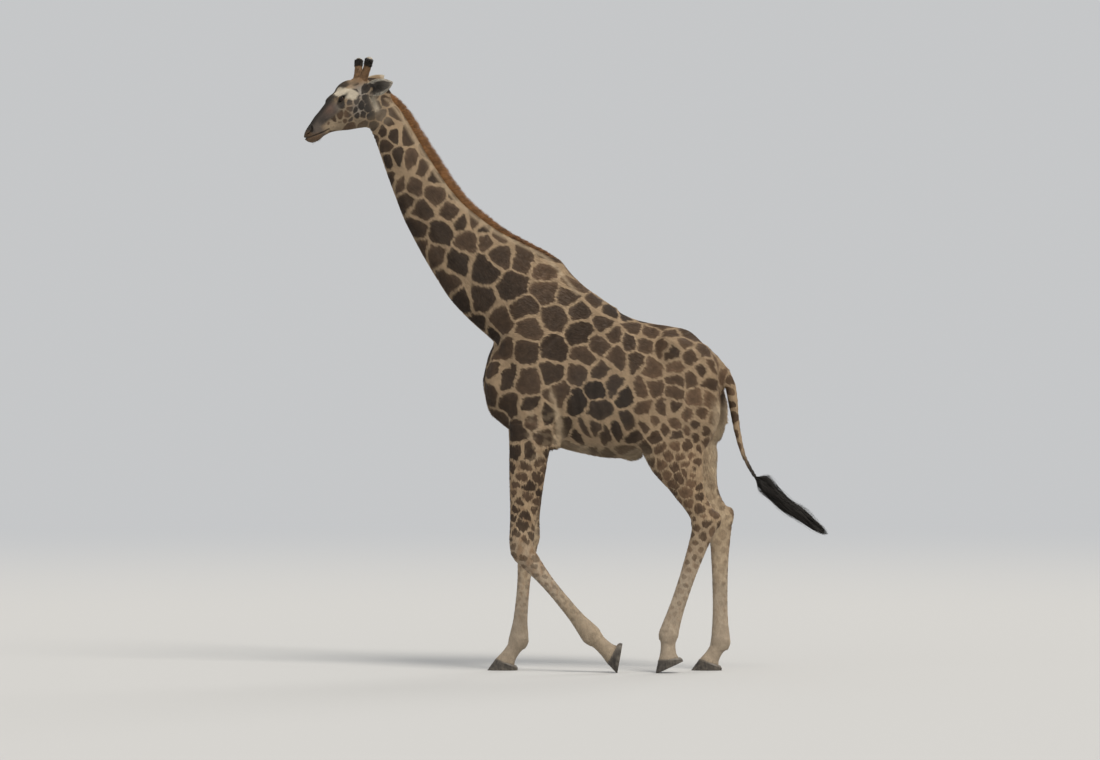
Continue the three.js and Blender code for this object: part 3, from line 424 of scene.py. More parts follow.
def head_distance(p):
    s, n, v = head.local(p)
    a = np.abs(v)
    d = head.distance(p)
    for (fs, fn, fv), radii, width in HEAD_FORMS:
        d = blend(d, scaled_distance(s - fs, n - fn, a - fv, *radii), width)
    # Lids: a shell over the ball, open in an almond, with a crease above.
    long, high, out = in_eye(s, n, a)
    ball = np.sqrt(long**2 + high**2 + out**2) - EYE["radius"]
    d = blend(d, ball - LID["thickness"], 9)
    rim = almond(long, high)
    front = smoothstep(0, 14, out)
    lids = 2.6 * bell(rim - 8, 3) * smoothstep(-6, 4, high) + 1.8 * bell(rim - 7, 3) * smoothstep(4, -6, high)
    d = d + front * lids
    d = d - front * 2.2 * bell(rim - 14, 5)
    d = carve(d, np.maximum(rim, 5 - out), 2)
    # Nostril, a comma of a slit on each side.
    at, tilt = NOSTRIL["at"], NOSTRIL["tilt"]
    ds, dn = s - at[0], n - at[1]
    long, high = ds * math.cos(tilt) + dn * math.sin(tilt), -ds * math.sin(tilt) + dn * math.cos(tilt)
    high = high - 0.009 * long**2
    slit = np.hypot(long / NOSTRIL["half_length"], high / NOSTRIL["half_width"]) - 1
    slit = slit * NOSTRIL["half_width"]
    d = d - 1.8 * bell(slit - 6, 4) * smoothstep(20, 34, a)
    d = carve(d, np.maximum(slit, np.maximum(-d - NOSTRIL["depth"], 18 - a)), 3)
    # Mouth, a groove from the lips to its corner.
    groove = np.maximum(np.abs(n - mouth_line(s)) - MOUTH["half_width"], MOUTH["corner"] - s)
    d = carve(d, np.maximum(groove, -d - MOUTH["depth"]), 4)
    # Veins and hollows.
    for start, end in zip(VEIN, VEIN[1:]):
        _, away = from_segment(s, n, start, end)
        d = d - 0.9 * bell(away, 4) * smoothstep(25, 45, a)
    d = d + 5 * bell(s - 395, 60) * bell(n + 28, 22) * smoothstep(30, 50, a)
    d = d + 5 * bell(s - 178, 26) * bell(n - 92, 30) * smoothstep(60, 90, a)
    d = d + 1.2 * np.cos((s - 430) / 3.2) * bell(s - 440, 22) * bell(n + 52, 14)
    return d


# Ears: a leaf that is cupped along its length.
EAR = {"root": (20, 48, 98), "length": 236, "width": 66, "thickness": 7.5, "cup": 46, "sunk": 20}
EAR_OPENING = (-0.35, 0.9, -0.25)
EAR_TOWARDS = {LEFT: (158, -112, 44), RIGHT: (150, 85, 112)}


def ear_frame(side):
    along = unit(EAR_TOWARDS[side])
    opening = np.array(EAR_OPENING) * [1, side, 1]
    opening = unit(opening - along * (opening @ along))
    return on_head(EAR["root"], side)[0] - along * EAR["sunk"], along, np.cross(along, opening), opening


EARS = {side: ear_frame(side) for side in (LEFT, RIGHT)}


def ear_leaf(t):
    """Half the ear's width, and how deep it is cupped, at a share of its length."""
    share = np.clip(0.16 + 0.84 * t, 0, 1)
    width = np.maximum(EAR["width"] * np.sin(math.pi * share) ** 0.75, 3)
    return width, EAR["cup"] * np.clip(1.08 - t, 0, 1.1) * width / EAR["width"]


def ear_local(side, p):
    """Share of the length, share of the width there, height over the leaf, and the half width."""
    root, along, across, opening = EARS[side]
    d = p - root
    t = (d @ along) / EAR["length"]
    width, cup = ear_leaf(t)
    u = d @ across / width
    near = np.clip(u, -1.3, 1.3)
    sag = (near**2 - 0.5) * cup
    slope = np.sqrt(1 + (2 * near * cup / width) ** 2)
    return t, u, (d @ opening - sag) / slope, width


def ear_distance(side, p):
    t, u, lift, width = ear_local(side, p)
    half = EAR["thickness"] / 2 * (1 + 0.9 * smoothstep(0.35, 0.0, t))
    leaf = np.abs(lift) - half
    edge = (np.abs(u) - 1) * width
    ends = np.maximum(-t, t - 1) * EAR["length"]
    return -blend(-np.maximum(leaf, ends), -edge, 5)


# Legs.
HOOF = {"length": 238, "wall_run": 85, "wall": 115, "heel_run": 7, "width": 92, "narrowing": 0.16}
CLEFT = 5
CORONET = (138, 66)
CORONET_DROP = math.radians(20)
TOE_FLAT = 8
# The point of the elbow and of the hock: (radii, how far back, how far down the limb).
ELBOW = ((60, 46, 62), 146, 6)
HOCK_POINT = ((36, 34, 62), 74, -42)


class Leg:
    def __init__(self, kind, joints, toe, slope):
        tilt = math.radians(slope)
        self.kind = kind
        self.outward = math.copysign(1, toe[1])
        self.sole = np.array([math.cos(tilt), 0, math.sin(tilt)])
        self.rise = np.array([-math.sin(tilt), 0, math.cos(tilt)])
        self.tip = np.array([toe[0], toe[1], -TOE_FLAT if slope > 0 else 0], float)
        self.coronet = self.tip + self.sole * CORONET[0] + self.rise * CORONET[1]
        self.hair_line = self.rise * math.cos(CORONET_DROP) + self.sole * math.sin(CORONET_DROP)
        self.pastern = limb(joints[-1], self.coronet, PASTERN)
        shapes = [FOREARM, FORE_CANNON] if kind == "fore" else [THIGH, GASKIN, HIND_CANNON]
        self.limbs = [limb(a, b, shape) for a, b, shape in zip(joints, joints[1:], shapes)]
        self.cannon = self.limbs[-1]
        radii, back, down = ELBOW if kind == "fore" else HOCK_POINT
        host = self.limbs[0] if kind == "fore" else self.cannon
        self.bony = host.start + host.across * back + host.axis * down, radii
        points = np.array([*joints, self.coronet, self.tip])
        self.low, self.high = points.min(0) - [190, 170, 60], points.max(0) + [390, 170, 200]

    def distance(self, p):
        over = (p - self.coronet) @ self.hair_line
        d = np.maximum(self.pastern.distance(p), -over - 9)
        for part in self.limbs:
            d = blend(d, part.distance(p), LIMB_BLEND)
        at, radii = self.bony
        d = blend(d, scaled_distance(*(p - at).T, *radii), LIMB_BLEND)
        return d - self.relief(p)

    def relief(self, p):
        """Tendons behind the cannon, the bones of the knee, the hollow over the hock."""
        cannon = self.cannon
        s, u, v, height, _ = cannon.shares(p)
        t = s / cannon.length
        side = smoothstep(0.3, 0.7, np.abs(v))
        out = -5.5 * bell((u - 0.3) * height, 9) * window(t, 0.16, 0.84, 0.07) * side
        out -= 2.5 * bell((u - 0.72) * height, 6) * window(t, 0.22, 0.78, 0.07) * side
        out += 3.5 * bell(t - 0.05, 0.035) * smoothstep(-0.1, -0.7, u)
        out += 3 * bell(t - 0.965, 0.03) * side
        upper = self.limbs[-2]
        s, u, v, height, _ = upper.shares(p)
        t = s / upper.length
        side = smoothstep(0.35, 0.75, np.abs(v))
        if self.kind == "hind":
            out -= 13 * bell((u - 0.42) * height, 17) * window(t, 0.6, 0.93, 0.09) * side
            out -= 5 * bell((u + 0.1) * height, 22) * window(t, 0.15, 0.6, 0.12) * side
            out -= 4 * bell((u - 0.55) * height, 26) * window(t, 0.0, 0.45, 0.12) * side
        else:
            out -= 6 * bell((u - 0.35) * height, 14) * window(t, 0.2, 0.85, 0.1) * side
            out -= 4 * bell((u + 0.25) * height, 14) * window(t, 0.25, 0.8, 0.1) * side
            out += 3 * bell(t - 0.9, 0.03) * side
        return out


legs = {name: Leg(*leg) for name, leg in LEGS.items()}

dock = np.array(TAIL, float)


def tail_distance(p):
    """A chain of round cones down the dock, a little knotted by the bones in it."""
    best = np.full(len(p), 1e4)
    for a, b in zip(dock, dock[1:]):
        start, way = np.array([a[0], 0, a[1]]), np.array([b[0] - a[0], 0, b[1] - a[1]])
        t = np.clip((p - start) @ way / (way @ way), 0, 1)
        away = np.linalg.norm(p - start - t[:, None] * way, axis=1)
        best = np.minimum(best, away - (a[2] + (b[2] - a[2]) * t))
    return best - 0.8 * np.cos(p[:, 2] / 9.0)


# The ridge of skin that the mane stands on.
mane = Table(MANE)


def crest_distance(p):
    s, n, v = neck.local(p)
    top = neck.table.read(s, 1)
    tall = mane.read(s, 1) * 0.3
    ends = np.maximum(mane.at[0] + 30 - s, s - mane.at[-1] + 60)
    return np.maximum(np.hypot((n - top + 6) * 0.8, v * 1.6) - tall, ends)


def coat_depth(p):
    """How far the skin lies inside the tips of the coat."""
    x, _, z = p.T
    deep = 3 + 3 * smoothstep(700, 1500, z) * (1 - smoothstep(3900, 4150, z))
    return np.where(x > 1225, 3, deep)


def skin_distance(p):
    x, _, z = p.T
    d = np.full(len(p), 1e4)

    def put(where, field, k):
        if where.any():
            d[where] = blend(d[where], field(p[where]), k)

    put(z < 4100, core_distance, 1)
    d_neck = culled(neck.distance, np.array([-1600, -260, 1900]), np.array([450, 260, 4600]), p)
    d_neck = d_neck - np.where(d_neck < 120, neck_relief(p), 0)
    d = blend(d, d_neck, NECK_BLEND)
    for leg in legs.values():
        put(z < 2900, lambda q, leg=leg: culled(leg.distance, leg.low, leg.high, q), BODY_BLEND)
    put((x > 950) & (z < 2600), tail_distance, 44)
    put((x < 250) & (z > 2700), crest_distance, 16)
    d = d + coat_depth(p)
    high = z > 3850
    if high.any():
        q = p[high]
        e = blend(d[high], head_distance(q) + coat_depth(q), HEAD_BLEND)
        for side in (LEFT, RIGHT):
            e = blend(e, ear_distance(side, q), 12)
        d[high] = e
    return d


def gradient(field, p, step=1.0):
    """The field's gradient, from four samples at the corners of a tetrahedron."""
    corners = np.array([(1, 1, 1), (1, -1, -1), (-1, 1, -1), (-1, -1, 1)], float)
    out = np.zeros_like(p)
    for corner in corners:
        out += field(p + corner * step)[:, None] * corner
    return out / (4 * step)


# ---- The skin's mesh ----
# Cells of four sizes: the body's, the head's and feet's, the face's and ears', and those of the
# eyelids, nostrils and mouth.
CELL = 17.4
LEVELS = 3
UNITS = 2**LEVELS  # the finest cell is one unit, the body's is UNITS of them
UNIT = CELL / UNITS
HALF_DIAGONAL = 0.866  # of a cell of size 1
FIELD_LOW = np.array([-2100.0, -420.0, -70.0])
FIELD_HIGH = np.array([1520.0, 420.0, 4760.0])


def cell_level(cells):
    """Which size the cells of a coarse cell have, from the coarse cell's whole-number place."""
    p = FIELD_LOW + (cells + 0.5) * CELL
    level = np.zeros(len(p), int)
    near_head = p[:, 2] > 4080
    level[near_head & (p[:, 0] < -1330)] = 1
    level[p[:, 2] < 300] = 1
    s, n, v = head.local(p)
    a = np.abs(v)
    face = (s > 420) & (n > -120) | (np.hypot(s - 255, n - 108) < 75) & (a > 40)
    level[near_head & face & (s < 720) & (a < 150)] = 2
    line = mouth_line(s)
    fine = (np.abs(n - line) < 13) & (s > MOUTH["corner"] - 12) | (a > 30) & (
        (np.hypot(s - EYE["at"][0], n - EYE["at"][1]) < 40)
        | (np.hypot(s - NOSTRIL["at"][0], n - NOSTRIL["at"][1]) < 32)
    )
    for side in (LEFT, RIGHT):
        t, u, lift, _ = ear_local(side, p)
        level[near_head & (t > 0.02) & (t < 1.15) & (np.abs(u) < 1.5) & (np.abs(lift) < 45)] = 2
    level[near_head & fine & (s < 720) & (a < 150)] = 3
    return level


def unique_rows(rows):
    """Distinct rows of whole numbers, and for each row its place among them."""
    spans = rows.max(0) - rows.min(0) + 1
    low = rows.min(0)
    key = np.zeros(len(rows), np.int64)
    for c in range(rows.shape[1]):
        key = key * spans[c] + (rows[:, c] - low[c])
    _, first, back = np.unique(key, return_index=True, return_inverse=True)
    return rows[first], back.reshape(-1)


def near_surface(field, cells, size, reach):
    """The cells whose centre is within reach of the surface, in halves of a cell's diagonal."""
    d = field(FIELD_LOW + (cells + 0.5) * size)
    return cells[np.abs(d) < size * HALF_DIAGONAL * reach]


def children(cells, parts):
    steps = np.array([(i, j, k) for i in range(parts) for j in range(parts) for k in range(parts)])
    return (cells[:, None] * parts + steps).reshape(-1, 3)


def skin_net(field):
    """Vertices and faces of the surface, one vertex for each cell that it passes through."""
    wide = 4
    counts = np.ceil((FIELD_HIGH - FIELD_LOW) / (CELL * wide)).astype(int)
    grid = np.stack(np.meshgrid(*[np.arange(n) for n in counts], indexing="ij"), -1).reshape(-1, 3)
    coarse = near_surface(field, grid, CELL * wide, 1.25)
    coarse = near_surface(field, children(coarse, wide), CELL, 2.0)
    level = cell_level(coarse)
    edges = []  # (lower end in units, axis, level)
    for finer in range(LEVELS + 1):
        cells = coarse[level == finer]
        if finer:
            cells = near_surface(field, children(cells, 2**finer), CELL / 2**finer, 2.6)
        step = UNITS // 2**finer
        for axis in range(3):
            b, c = (axis + 1) % 3, (axis + 2) % 3
            for i in (0, 1):
                for j in (0, 1):
                    lower = cells * step
                    lower[:, b] += i * step
                    lower[:, c] += j * step
                    n = len(lower)
                    edges.append(np.column_stack([lower, np.full(n, axis), np.full(n, finer)]))
    edges, _ = unique_rows(np.concatenate(edges))
    steps = UNITS // 2 ** edges[:, 4]
    upper = edges[:, :3].copy()
    upper[np.arange(len(edges)), edges[:, 3]] += steps
    ends, back = unique_rows(np.concatenate([edges[:, :3], upper]))
    value = field(FIELD_LOW + ends * UNIT)
    value = np.where(value == 0, 1e-6, value)
    value = value[back].reshape(2, -1)
    crossed = (value[0] < 0) != (value[1] < 0)
    edges, upper, steps, value = edges[crossed], upper[crossed], steps[crossed], value[:, crossed]
    t = value[0] / (value[0] - value[1])
    points = FIELD_LOW + (edges[:, :3] + (upper - edges[:, :3]) * t[:, None]) * UNIT
    # The four cells round each edge, as leaves of any size.
    rows = np.arange(len(edges))
    leaves = []
    smallest = np.ones(len(edges), bool)
    for i, j in ((0, 0), (-1, 0), (-1, -1), (0, -1)):
        low = edges[:, :3].copy()
        low[rows, (edges[:, 3] + 1) % 3] += i * steps
        low[rows, (edges[:, 3] + 2) % 3] += j * steps
        leaf_level = cell_level(low // UNITS)
        smallest &= leaf_level <= edges[:, 4]
        size = UNITS // 2**leaf_level
        leaves.append(np.column_stack([low // size[:, None] * size[:, None], leaf_level]))
    leaves = np.stack(leaves, 1)[smallest]
    points, inward = points[smallest], value[0][smallest] > 0
    flat, back = unique_rows(leaves.reshape(-1, 4))
    quads = back.reshape(-1, 4)
    total = np.zeros((len(flat), 3))
    for c in range(3):
        total[:, c] = np.bincount(back, np.repeat(points[:, c], 4), len(flat))
    verts = total / np.bincount(back, minlength=len(flat))[:, None]
    quads = np.where(inward[:, None], quads[:, ::-1], quads)
    doubled = (quads == np.roll(quads, -1, 1)).sum(1)
    faces = [tuple(q) for q in quads[doubled == 0]]
    for q in quads[doubled == 1]:
        faces.append(tuple(q[k] for k in range(4) if q[k] != q[(k + 1) % 4]))
    return verts, faces


def project(field, verts, rounds, limit):
    """Moves points onto the surface of a field."""
    for _ in range(rounds):
        g = gradient(field, verts)
        size = np.maximum((g**2).sum(1), 0.05)
        verts = verts - g * np.clip(field(verts) / size, -limit, limit)[:, None]
    return verts


def padded_faces(faces):
    """Faces of 3 or 4 corners as one array; a triangle repeats its last corner."""
    return np.array([f if len(f) == 4 else (*f, f[-1]) for f in faces])


def smoothed(verts, quads, share):
    """Each point moved a share of the way to the middle of its faces."""
    middles = verts[quads].mean(1)
    total = np.zeros_like(verts)
    for c in range(3):
        total[:, c] = np.bincount(quads.reshape(-1), np.repeat(middles[:, c], 4), len(verts))
    count = np.bincount(quads.reshape(-1), minlength=len(verts))
    return verts + (total / np.maximum(count, 1)[:, None] - verts) * share


def main_piece(verts, faces):
    """The largest connected piece of a mesh."""
    quads = padded_faces(faces)
    group = np.arange(len(verts))
    while True:
        low = group[quads].min(1)
        new = group.copy()
        np.minimum.at(new, quads.reshape(-1), np.repeat(low, 4))
        new = new[new]
        if (new == group).all():
            break
        group = new
    kept = group == np.bincount(group).argmax()
    number = np.cumsum(kept) - 1
    faces = [tuple(int(number[i]) for i in f) for f in faces if kept[f[0]]]
    return verts[kept], faces


skin_verts, skin_faces = skin_net(skin_distance)
skin_verts, skin_faces = main_piece(skin_verts, skin_faces)
skin_quads = padded_faces(skin_faces)
skin_verts = project(skin_distance, skin_verts, 1, 4.0)
skin_verts = smoothed(skin_verts, skin_quads, 0.5)
skin_verts = project(skin_distance, skin_verts, 2, 4.0)
skin_normals = unit(gradient(skin_distance, skin_verts, 2.0))

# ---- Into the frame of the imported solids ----
# The solids' own frame stands over the middle of their box, so the left eye's place gives the shift.
SOLID_EYE = (255, 108, 92)
low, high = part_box("eye_left")
MIDDLE = np.array((low + high) / 2) * 1000
SHIFT = (MIDDLE - on_head(SOLID_EYE, LEFT)[0]) * [1, 1, 0]


def metres(p):
    return (np.asarray(p, float) + SHIFT) / 1000


# ---- What each place belongs to, and the unwrap ----
# Each part of the skin is unwrapped from six sides of its own axes, and the charts are packed.
tail_axis = unit([0.28, 0, -1])
PARTS = {
    "head": HEAD_FRAME,
    "neck": np.stack([neck.axis, neck.across, neck.side]),
    "trunk": np.eye(3),
    "tail": np.stack([tail_axis, SIDEWAYS, np.cross(tail_axis, SIDEWAYS)]),
    "ear_left": np.stack(EARS[LEFT][1:]),
    "ear_right": np.stack(EARS[RIGHT][1:]),
}
for leg_name in legs:
    PARTS[leg_name] = np.eye(3)
PART_AXES = np.stack(list(PARTS.values()))
HEAD_PART, NECK_PART, TRUNK_PART, TAIL_PART, LEFT_EAR_PART, RIGHT_EAR_PART, *LEG_PARTS = range(len(PARTS))
CHART_SIDES = 6


def part_of(p):
    """Which part of the body each point belongs to."""
    x, y, z = p.T
    out = np.full(len(p), TRUNK_PART)
    out[(x < -200) & (z > 2500) & ((x + 373) * -0.857 + (z - 2899) * 0.515 > 0)] = NECK_PART
    out[(x < -1250) & ((x + 1440) * -0.932 + (z - 4308) * 0.363 > -25)] = HEAD_PART
    for side, part in ((LEFT, LEFT_EAR_PART), (RIGHT, RIGHT_EAR_PART)):
        t, u, lift, _ = ear_local(side, p)
        out[(t > 0.17) & (t < 1.2) & (np.abs(u) < 1.4) & (np.abs(lift) < 22) & (z > 4000)] = part
    low = z < 1790
    for part, leg in zip(LEG_PARTS, legs.values()):
        own = low & (np.sign(y) == leg.outward)
        own &= (x < 200) if leg.kind == "fore" else (x > 560 - (1790 - z) * 0.25)
        own &= (z < 1700) | (x > 640) | (x < -110)
        out[own & (z < 1640) | own & (np.abs(y) > 60)] = part
    out[(x > 1215) & (tail_distance(p) < 12) & (z < 2330)] = TAIL_PART
    return out


def chart_of(part, normal):
    """The number of each point's chart: its part, and the side of the part that it faces."""
    facing = np.einsum("nij,nj->ni", PART_AXES[part], normal)
    axis = np.abs(facing).argmax(1)
    negative = facing[np.arange(len(axis)), axis] < 0
    return part * CHART_SIDES + axis * 2 + negative


def chart_place(chart, p):
    """Millimetres along the two axes of a chart."""
    local = np.einsum("nij,nj->ni", PART_AXES[chart // CHART_SIDES], p)
    axis = chart % CHART_SIDES // 2
    rows = np.arange(len(p))
    return np.stack([local[rows, (axis + 1) % 3], local[rows, (axis + 2) % 3]], 1)


def pack_charts(chart, place):
    """The offset of each chart, and one scale, so that all lie in the unit square side by side."""
    gap = 24.0
    boxes = []
    for c in np.unique(chart):
        own = place[chart == c]
        boxes.append((c, own.min(0), own.max(0) - own.min(0)))
    boxes.sort(key=lambda b: -b[2][1])
    width = 5000.0
    while True:
        offsets = {}
        x = y = tall = gap
        for c, low, size in boxes:
            if x + size[0] + gap > width:
                x, y, tall = gap, y + tall + gap, 0
            offsets[c] = np.array([x, y]) - low
            x += size[0] + gap
            tall = max(tall, size[1])
        if y + tall + gap <= width:
            return offsets, 1 / width
        width *= 1.03


corners = skin_verts[skin_quads]
face_middles = corners.mean(1)
face_cross = np.cross(corners[:, 2] - corners[:, 0], corners[:, 3] - corners[:, 1])
face_areas = np.linalg.norm(face_cross, axis=1) / 2
face_normals = unit(face_cross + 1e-12)
flat = face_areas < 5e-7
face_areas[flat] = 1e-3
face_normals[flat] = unit(np.cross(corners[flat, 1] - corners[flat, 0], corners[flat, 2] - corners[flat, 0]))
face_parts = part_of(face_middles)
face_charts = chart_of(face_parts, face_normals)
corner_charts = np.repeat(face_charts, 4)
chart_offsets, CHART_SCALE = pack_charts(corner_charts, chart_place(corner_charts, corners.reshape(-1, 3)))
offset_table = np.zeros((len(PARTS) * CHART_SIDES, 2))
for c, offset in chart_offsets.items():
    offset_table[c] = offset


def unwrap(chart, p):
    return (chart_place(chart, p) + offset_table[chart]) * CHART_SCALE


skin_tree = BVHTree.FromPolygons(skin_verts.tolist(), skin_faces)


def skin_under(points):
    """The nearest place on the skin to each point, its normal and its face."""
    found = [skin_tree.find_nearest(Vector(p)) for p in points]
    place = np.array([f[0] for f in found])
    face = np.array([f[2] for f in found])
    return place, face_normals[face], face


# ---- Markings ----
# The patches of the left side, listed one by one: their middles as (x, z) in steps of 7.7 mm. The small
# patches of the legs and the tail are strewn by rule.
PATCH_STEP = 7.7
NECK_PATCHES = [
    (-183, 571), (-186, 556), (-173, 557), (-185, 541), (-173, 537), (-161, 537), (-182, 526),
    (-179, 511), (-170, 514), (-156, 512), (-144, 505), (-132, 496), (-175, 492), (-169, 488),
    (-154, 485), (-132, 479), (-162, 472), (-147, 462), (-116, 460), (-110, 475), (-99, 467),
    (-105, 450), (-93, 450), (-83, 442), (-80, 434), (-71, 437), (-127, 440), (-100, 433),
    (-133, 417), (-111, 411), (-121, 392), (-82, 404), (-67, 416), (-44, 413), (-54, 386),
    (-21, 417), (-24, 401), (-87, 372), (-104, 369), (-67, 350), (-43, 364), (-22, 382),
    (-92, 347), (-152, 445), (-146, 424),
]
TRUNK_PATCHES = [
    (-39, 322), (-14, 354), (-15, 322), (-74, 337), (-64, 322), (-64, 297), (-39, 290),
    (-15, 300), (10, 300), (13, 362), (8, 387), (3, 376), (13, 339), (18, 315), (31, 327),
    (31, 300), (38, 347), (43, 362), (28, 372), (29, 284), (46, 287), (47, 337), (61, 332),
    (65, 344), (57, 356), (70, 354), (51, 314), (68, 312), (84, 304), (78, 327), (83, 339),
    (91, 345), (101, 337), (93, 326), (106, 320), (123, 336), (117, 328), (123, 317),
    (136, 320), (88, 284), (108, 305), (108, 292), (106, 279), (133, 302), (123, 295),
    (141, 307), (149, 311), (155, 297), (165, 290), (128, 275), (143, 287), (140, 274),
    (154, 272), (93, 264), (106, 267), (76, 267), (73, 280), (59, 277), (59, 250), (48, 243),
    (38, 241), (31, 262), (8, 272), (-7, 279), (-4, 242), (-58, 267), (-37, 264), (-24, 257),
    (-52, 242), (10, 237), (17, 241), (28, 243), (-84, 318), (-70, 300), (28, 400), (-34, 256),
]
RUMP_PATCHES = [
    (78, 245), (86, 252), (97, 243), (108, 250), (119, 257), (133, 257), (145, 252),
    (118, 241), (108, 237), (128, 247), (128, 234), (138, 242), (88, 236), (69, 237),
    (78, 225), (93, 225), (108, 227), (119, 227), (131, 224), (138, 230), (101, 217),
    (113, 216), (124, 216), (130, 210), (119, 208), (108, 205), (93, 207), (83, 210),
    (100, 197), (118, 199), (125, 198), (135, 199), (112, 196), (90, 196),
]
HEAD_PATCHES = [  # along the head and up from its axis, in millimetres
    (101, 153), (141, 105), (172, 70), (219, 44), (181, 30), (143, -3), (241, -6), (199, -31),
    (174, -83), (199, -140), (104, -63), (289, -21), (227, -77), (330, -14), (350, -47),
    (384, -8), (427, 1), (312, -61), (281, -89), (250, -117), (419, -49), (382, -82),
    (336, -101), (228, -158), (120, -120), (85, -10), (70, 80),
]
TAIL_PATCHES = [(1268, 2162, 41)] + TAIL[4:]
LEG_SPACING = {"top": 72, "end": 46}
LEG_PATCHES_BELOW = {"fore": 1660, "hind": 1530}


def on_side(places, side):
    """Points of (x, z) carried straight onto the flank of one side."""
    p = np.column_stack([places[:, 0], np.full(len(places), side * 430.0), places[:, 1]])
    for _ in range(40):
        p[:, 1] -= side * np.maximum(skin_distance(p), 0) * 0.8
    return p


def limb_seeds(part, around, top, draw):
    """Rings of middles down one part of a leg, below the height top."""
    seeds = []
    s = 0.0
    turn = draw.uniform(0, 6)
    while s < part.length:
        z = part.centre([s])[0][2]
        share = np.clip((z - 500) / 1200, 0, 1)
        gap = LEG_SPACING["end"] + (LEG_SPACING["top"] - LEG_SPACING["end"]) * share
        for k in range(around if z < top else 0):
            angle = turn + 2 * math.pi * k / around + draw.uniform(-0.3, 0.3)
            height = (part.table.read(s, 1) - part.table.read(s, 2)) / 2
            at = part.centre([s + draw.uniform(-0.3, 0.3) * gap])[0]
            at = at + part.across * math.cos(angle) * height
            at = at + part.side * math.sin(angle) * part.table.read(s, 3)
            seeds.append(at[None])
        turn += 0.9
        s += gap
    return seeds


def patch_seeds():
    """The middles of all patches."""
    draw = np.random.default_rng(11)
    listed = np.array(NECK_PATCHES + TRUNK_PATCHES + RUMP_PATCHES, float) * PATCH_STEP
    seeds = [on_side(listed, LEFT)]
    moved = listed + 30 * np.column_stack([np.sin(listed[:, 1] / 130) + 0.4, np.cos(listed[:, 0] / 170)])
    seeds.append(on_side(moved + draw.normal(size=moved.shape) * 6, RIGHT))
    cheeks = np.array(HEAD_PATCHES, float)
    for side in (LEFT, RIGHT):
        places = np.column_stack([cheeks, np.full(len(cheeks), 95.0)])
        seeds.append(on_head(places + draw.normal(size=places.shape) * [7, 7, 0], side))
    for leg in legs.values():
        for part in leg.limbs if leg.kind == "fore" else leg.limbs[1:]:
            around = 4 if part is leg.cannon else 5
            seeds += limb_seeds(part, around, LEG_PATCHES_BELOW[leg.kind], draw)
    for x, z, radius in TAIL_PATCHES:
        for side in (LEFT, RIGHT):
            seeds.append(np.array([[x + side * 14, side * radius, z + side * 16]]))
    return filled_in(np.concatenate(seeds), draw)


def seed_gap(p):
    """How far apart the patches' middles are, about, at each place."""
    x, _, z = p.T
    gap = 152 - 50 * smoothstep(3300, 4200, z)
    gap = gap - 46 * smoothstep(400, 900, x) * smoothstep(2600, 1900, z)
    gap = np.where(z < 1700, np.minimum(gap, 84), gap)
    return np.where((z > 4200) & (head.local(p)[0] > 20), 60, gap)


def filled_in(seeds, draw):
    """More middles wherever the skin is far from all of them: its front, back, belly and insides."""
    pick = draw.choice(len(skin_verts), 5000, replace=False)
    places = skin_verts[pick]
    gaps = seed_gap(places)
    away = np.full(len(places), 1e9)
    for i in range(0, len(seeds), 64):
        d = np.linalg.norm(places[:, None] - seeds[None, i : i + 64], axis=2)
        away = np.minimum(away, d.min(1))
    added = []
    for i in range(len(places)):
        if away[i] > gaps[i]:
            added.append(places[i])
            away = np.minimum(away, np.linalg.norm(places - places[i], axis=1))
    return np.concatenate([seeds, np.array(added).reshape(-1, 3)])


SEEDS = patch_seeds()
SEED_TINTS = np.random.default_rng(5).uniform(0, 1, len(SEEDS))


FORE_LEGS_END = 300  # below the trunk, what lies ahead of this x is a foreleg


def warped(p):
    """Points moved a little, so that the patches' edges wander."""
    small = smoothstep(2900, 4300, p[:, 2]) + smoothstep(1700, 1100, p[:, 2])
    size = (1 - 0.6 * np.clip(small, 0, 1))[:, None]
    forearm = (window(p[:, 2], 700, 1750, 120) * (p[:, 0] < FORE_LEGS_END))[:, None]
    return p + (13 * drift(p, 150, 3) + 6 * drift(p, 48, 4)) * size + 10 * drift(p, 38, 17) * forearm


def nearest_seeds(p, count=3):
    """The nearest patch centres to each point, nearest first."""
    out = np.empty((len(p), count), int)
    seeds = SEEDS.astype(np.float32)
    for i in range(0, len(p), 20000):
        d = ((p[i : i + 20000, None].astype(np.float32) - seeds[None]) ** 2).sum(2)
        part = np.argpartition(d, count, axis=1)[:, :count]
        order = np.take_along_axis(d, part, 1).argsort(1)
        out[i : i + 20000] = np.take_along_axis(part, order, 1)
    return out


def seed_distances(p, which):
    return np.linalg.norm(p[:, None] - SEEDS[which], axis=2)


# Colours, linear.
DARK = np.array([0.052, 0.032, 0.019])  # patches of the neck and the trunk
RUSSET = np.array([0.096, 0.058, 0.033])  # patches of the rump and the legs
SAND = np.array([0.300, 0.215, 0.132])  # the lines between
CREAM = np.array([0.390, 0.305, 0.205])  # lower legs, belly, behind the jaw
# SOOT also stands for painted shade, on the lower flank and in the hollows of the ears.
SOOT = np.array([0.030, 0.025, 0.021])  # ridge of the nose, rims of the lids
DUSK = np.array([0.066, 0.054, 0.047])  # face ahead of the eye
BROW = np.array([0.500, 0.440, 0.345])
HAZE = np.array([0.290, 0.270, 0.245])  # grey hair of the temple
FLUSH = np.array([0.150, 0.092, 0.070])  # the warm patch on the snout
CHESTNUT = np.array([0.200, 0.118, 0.062])
LINE_WIDTH = 10.5  # half the width of a line on the trunk


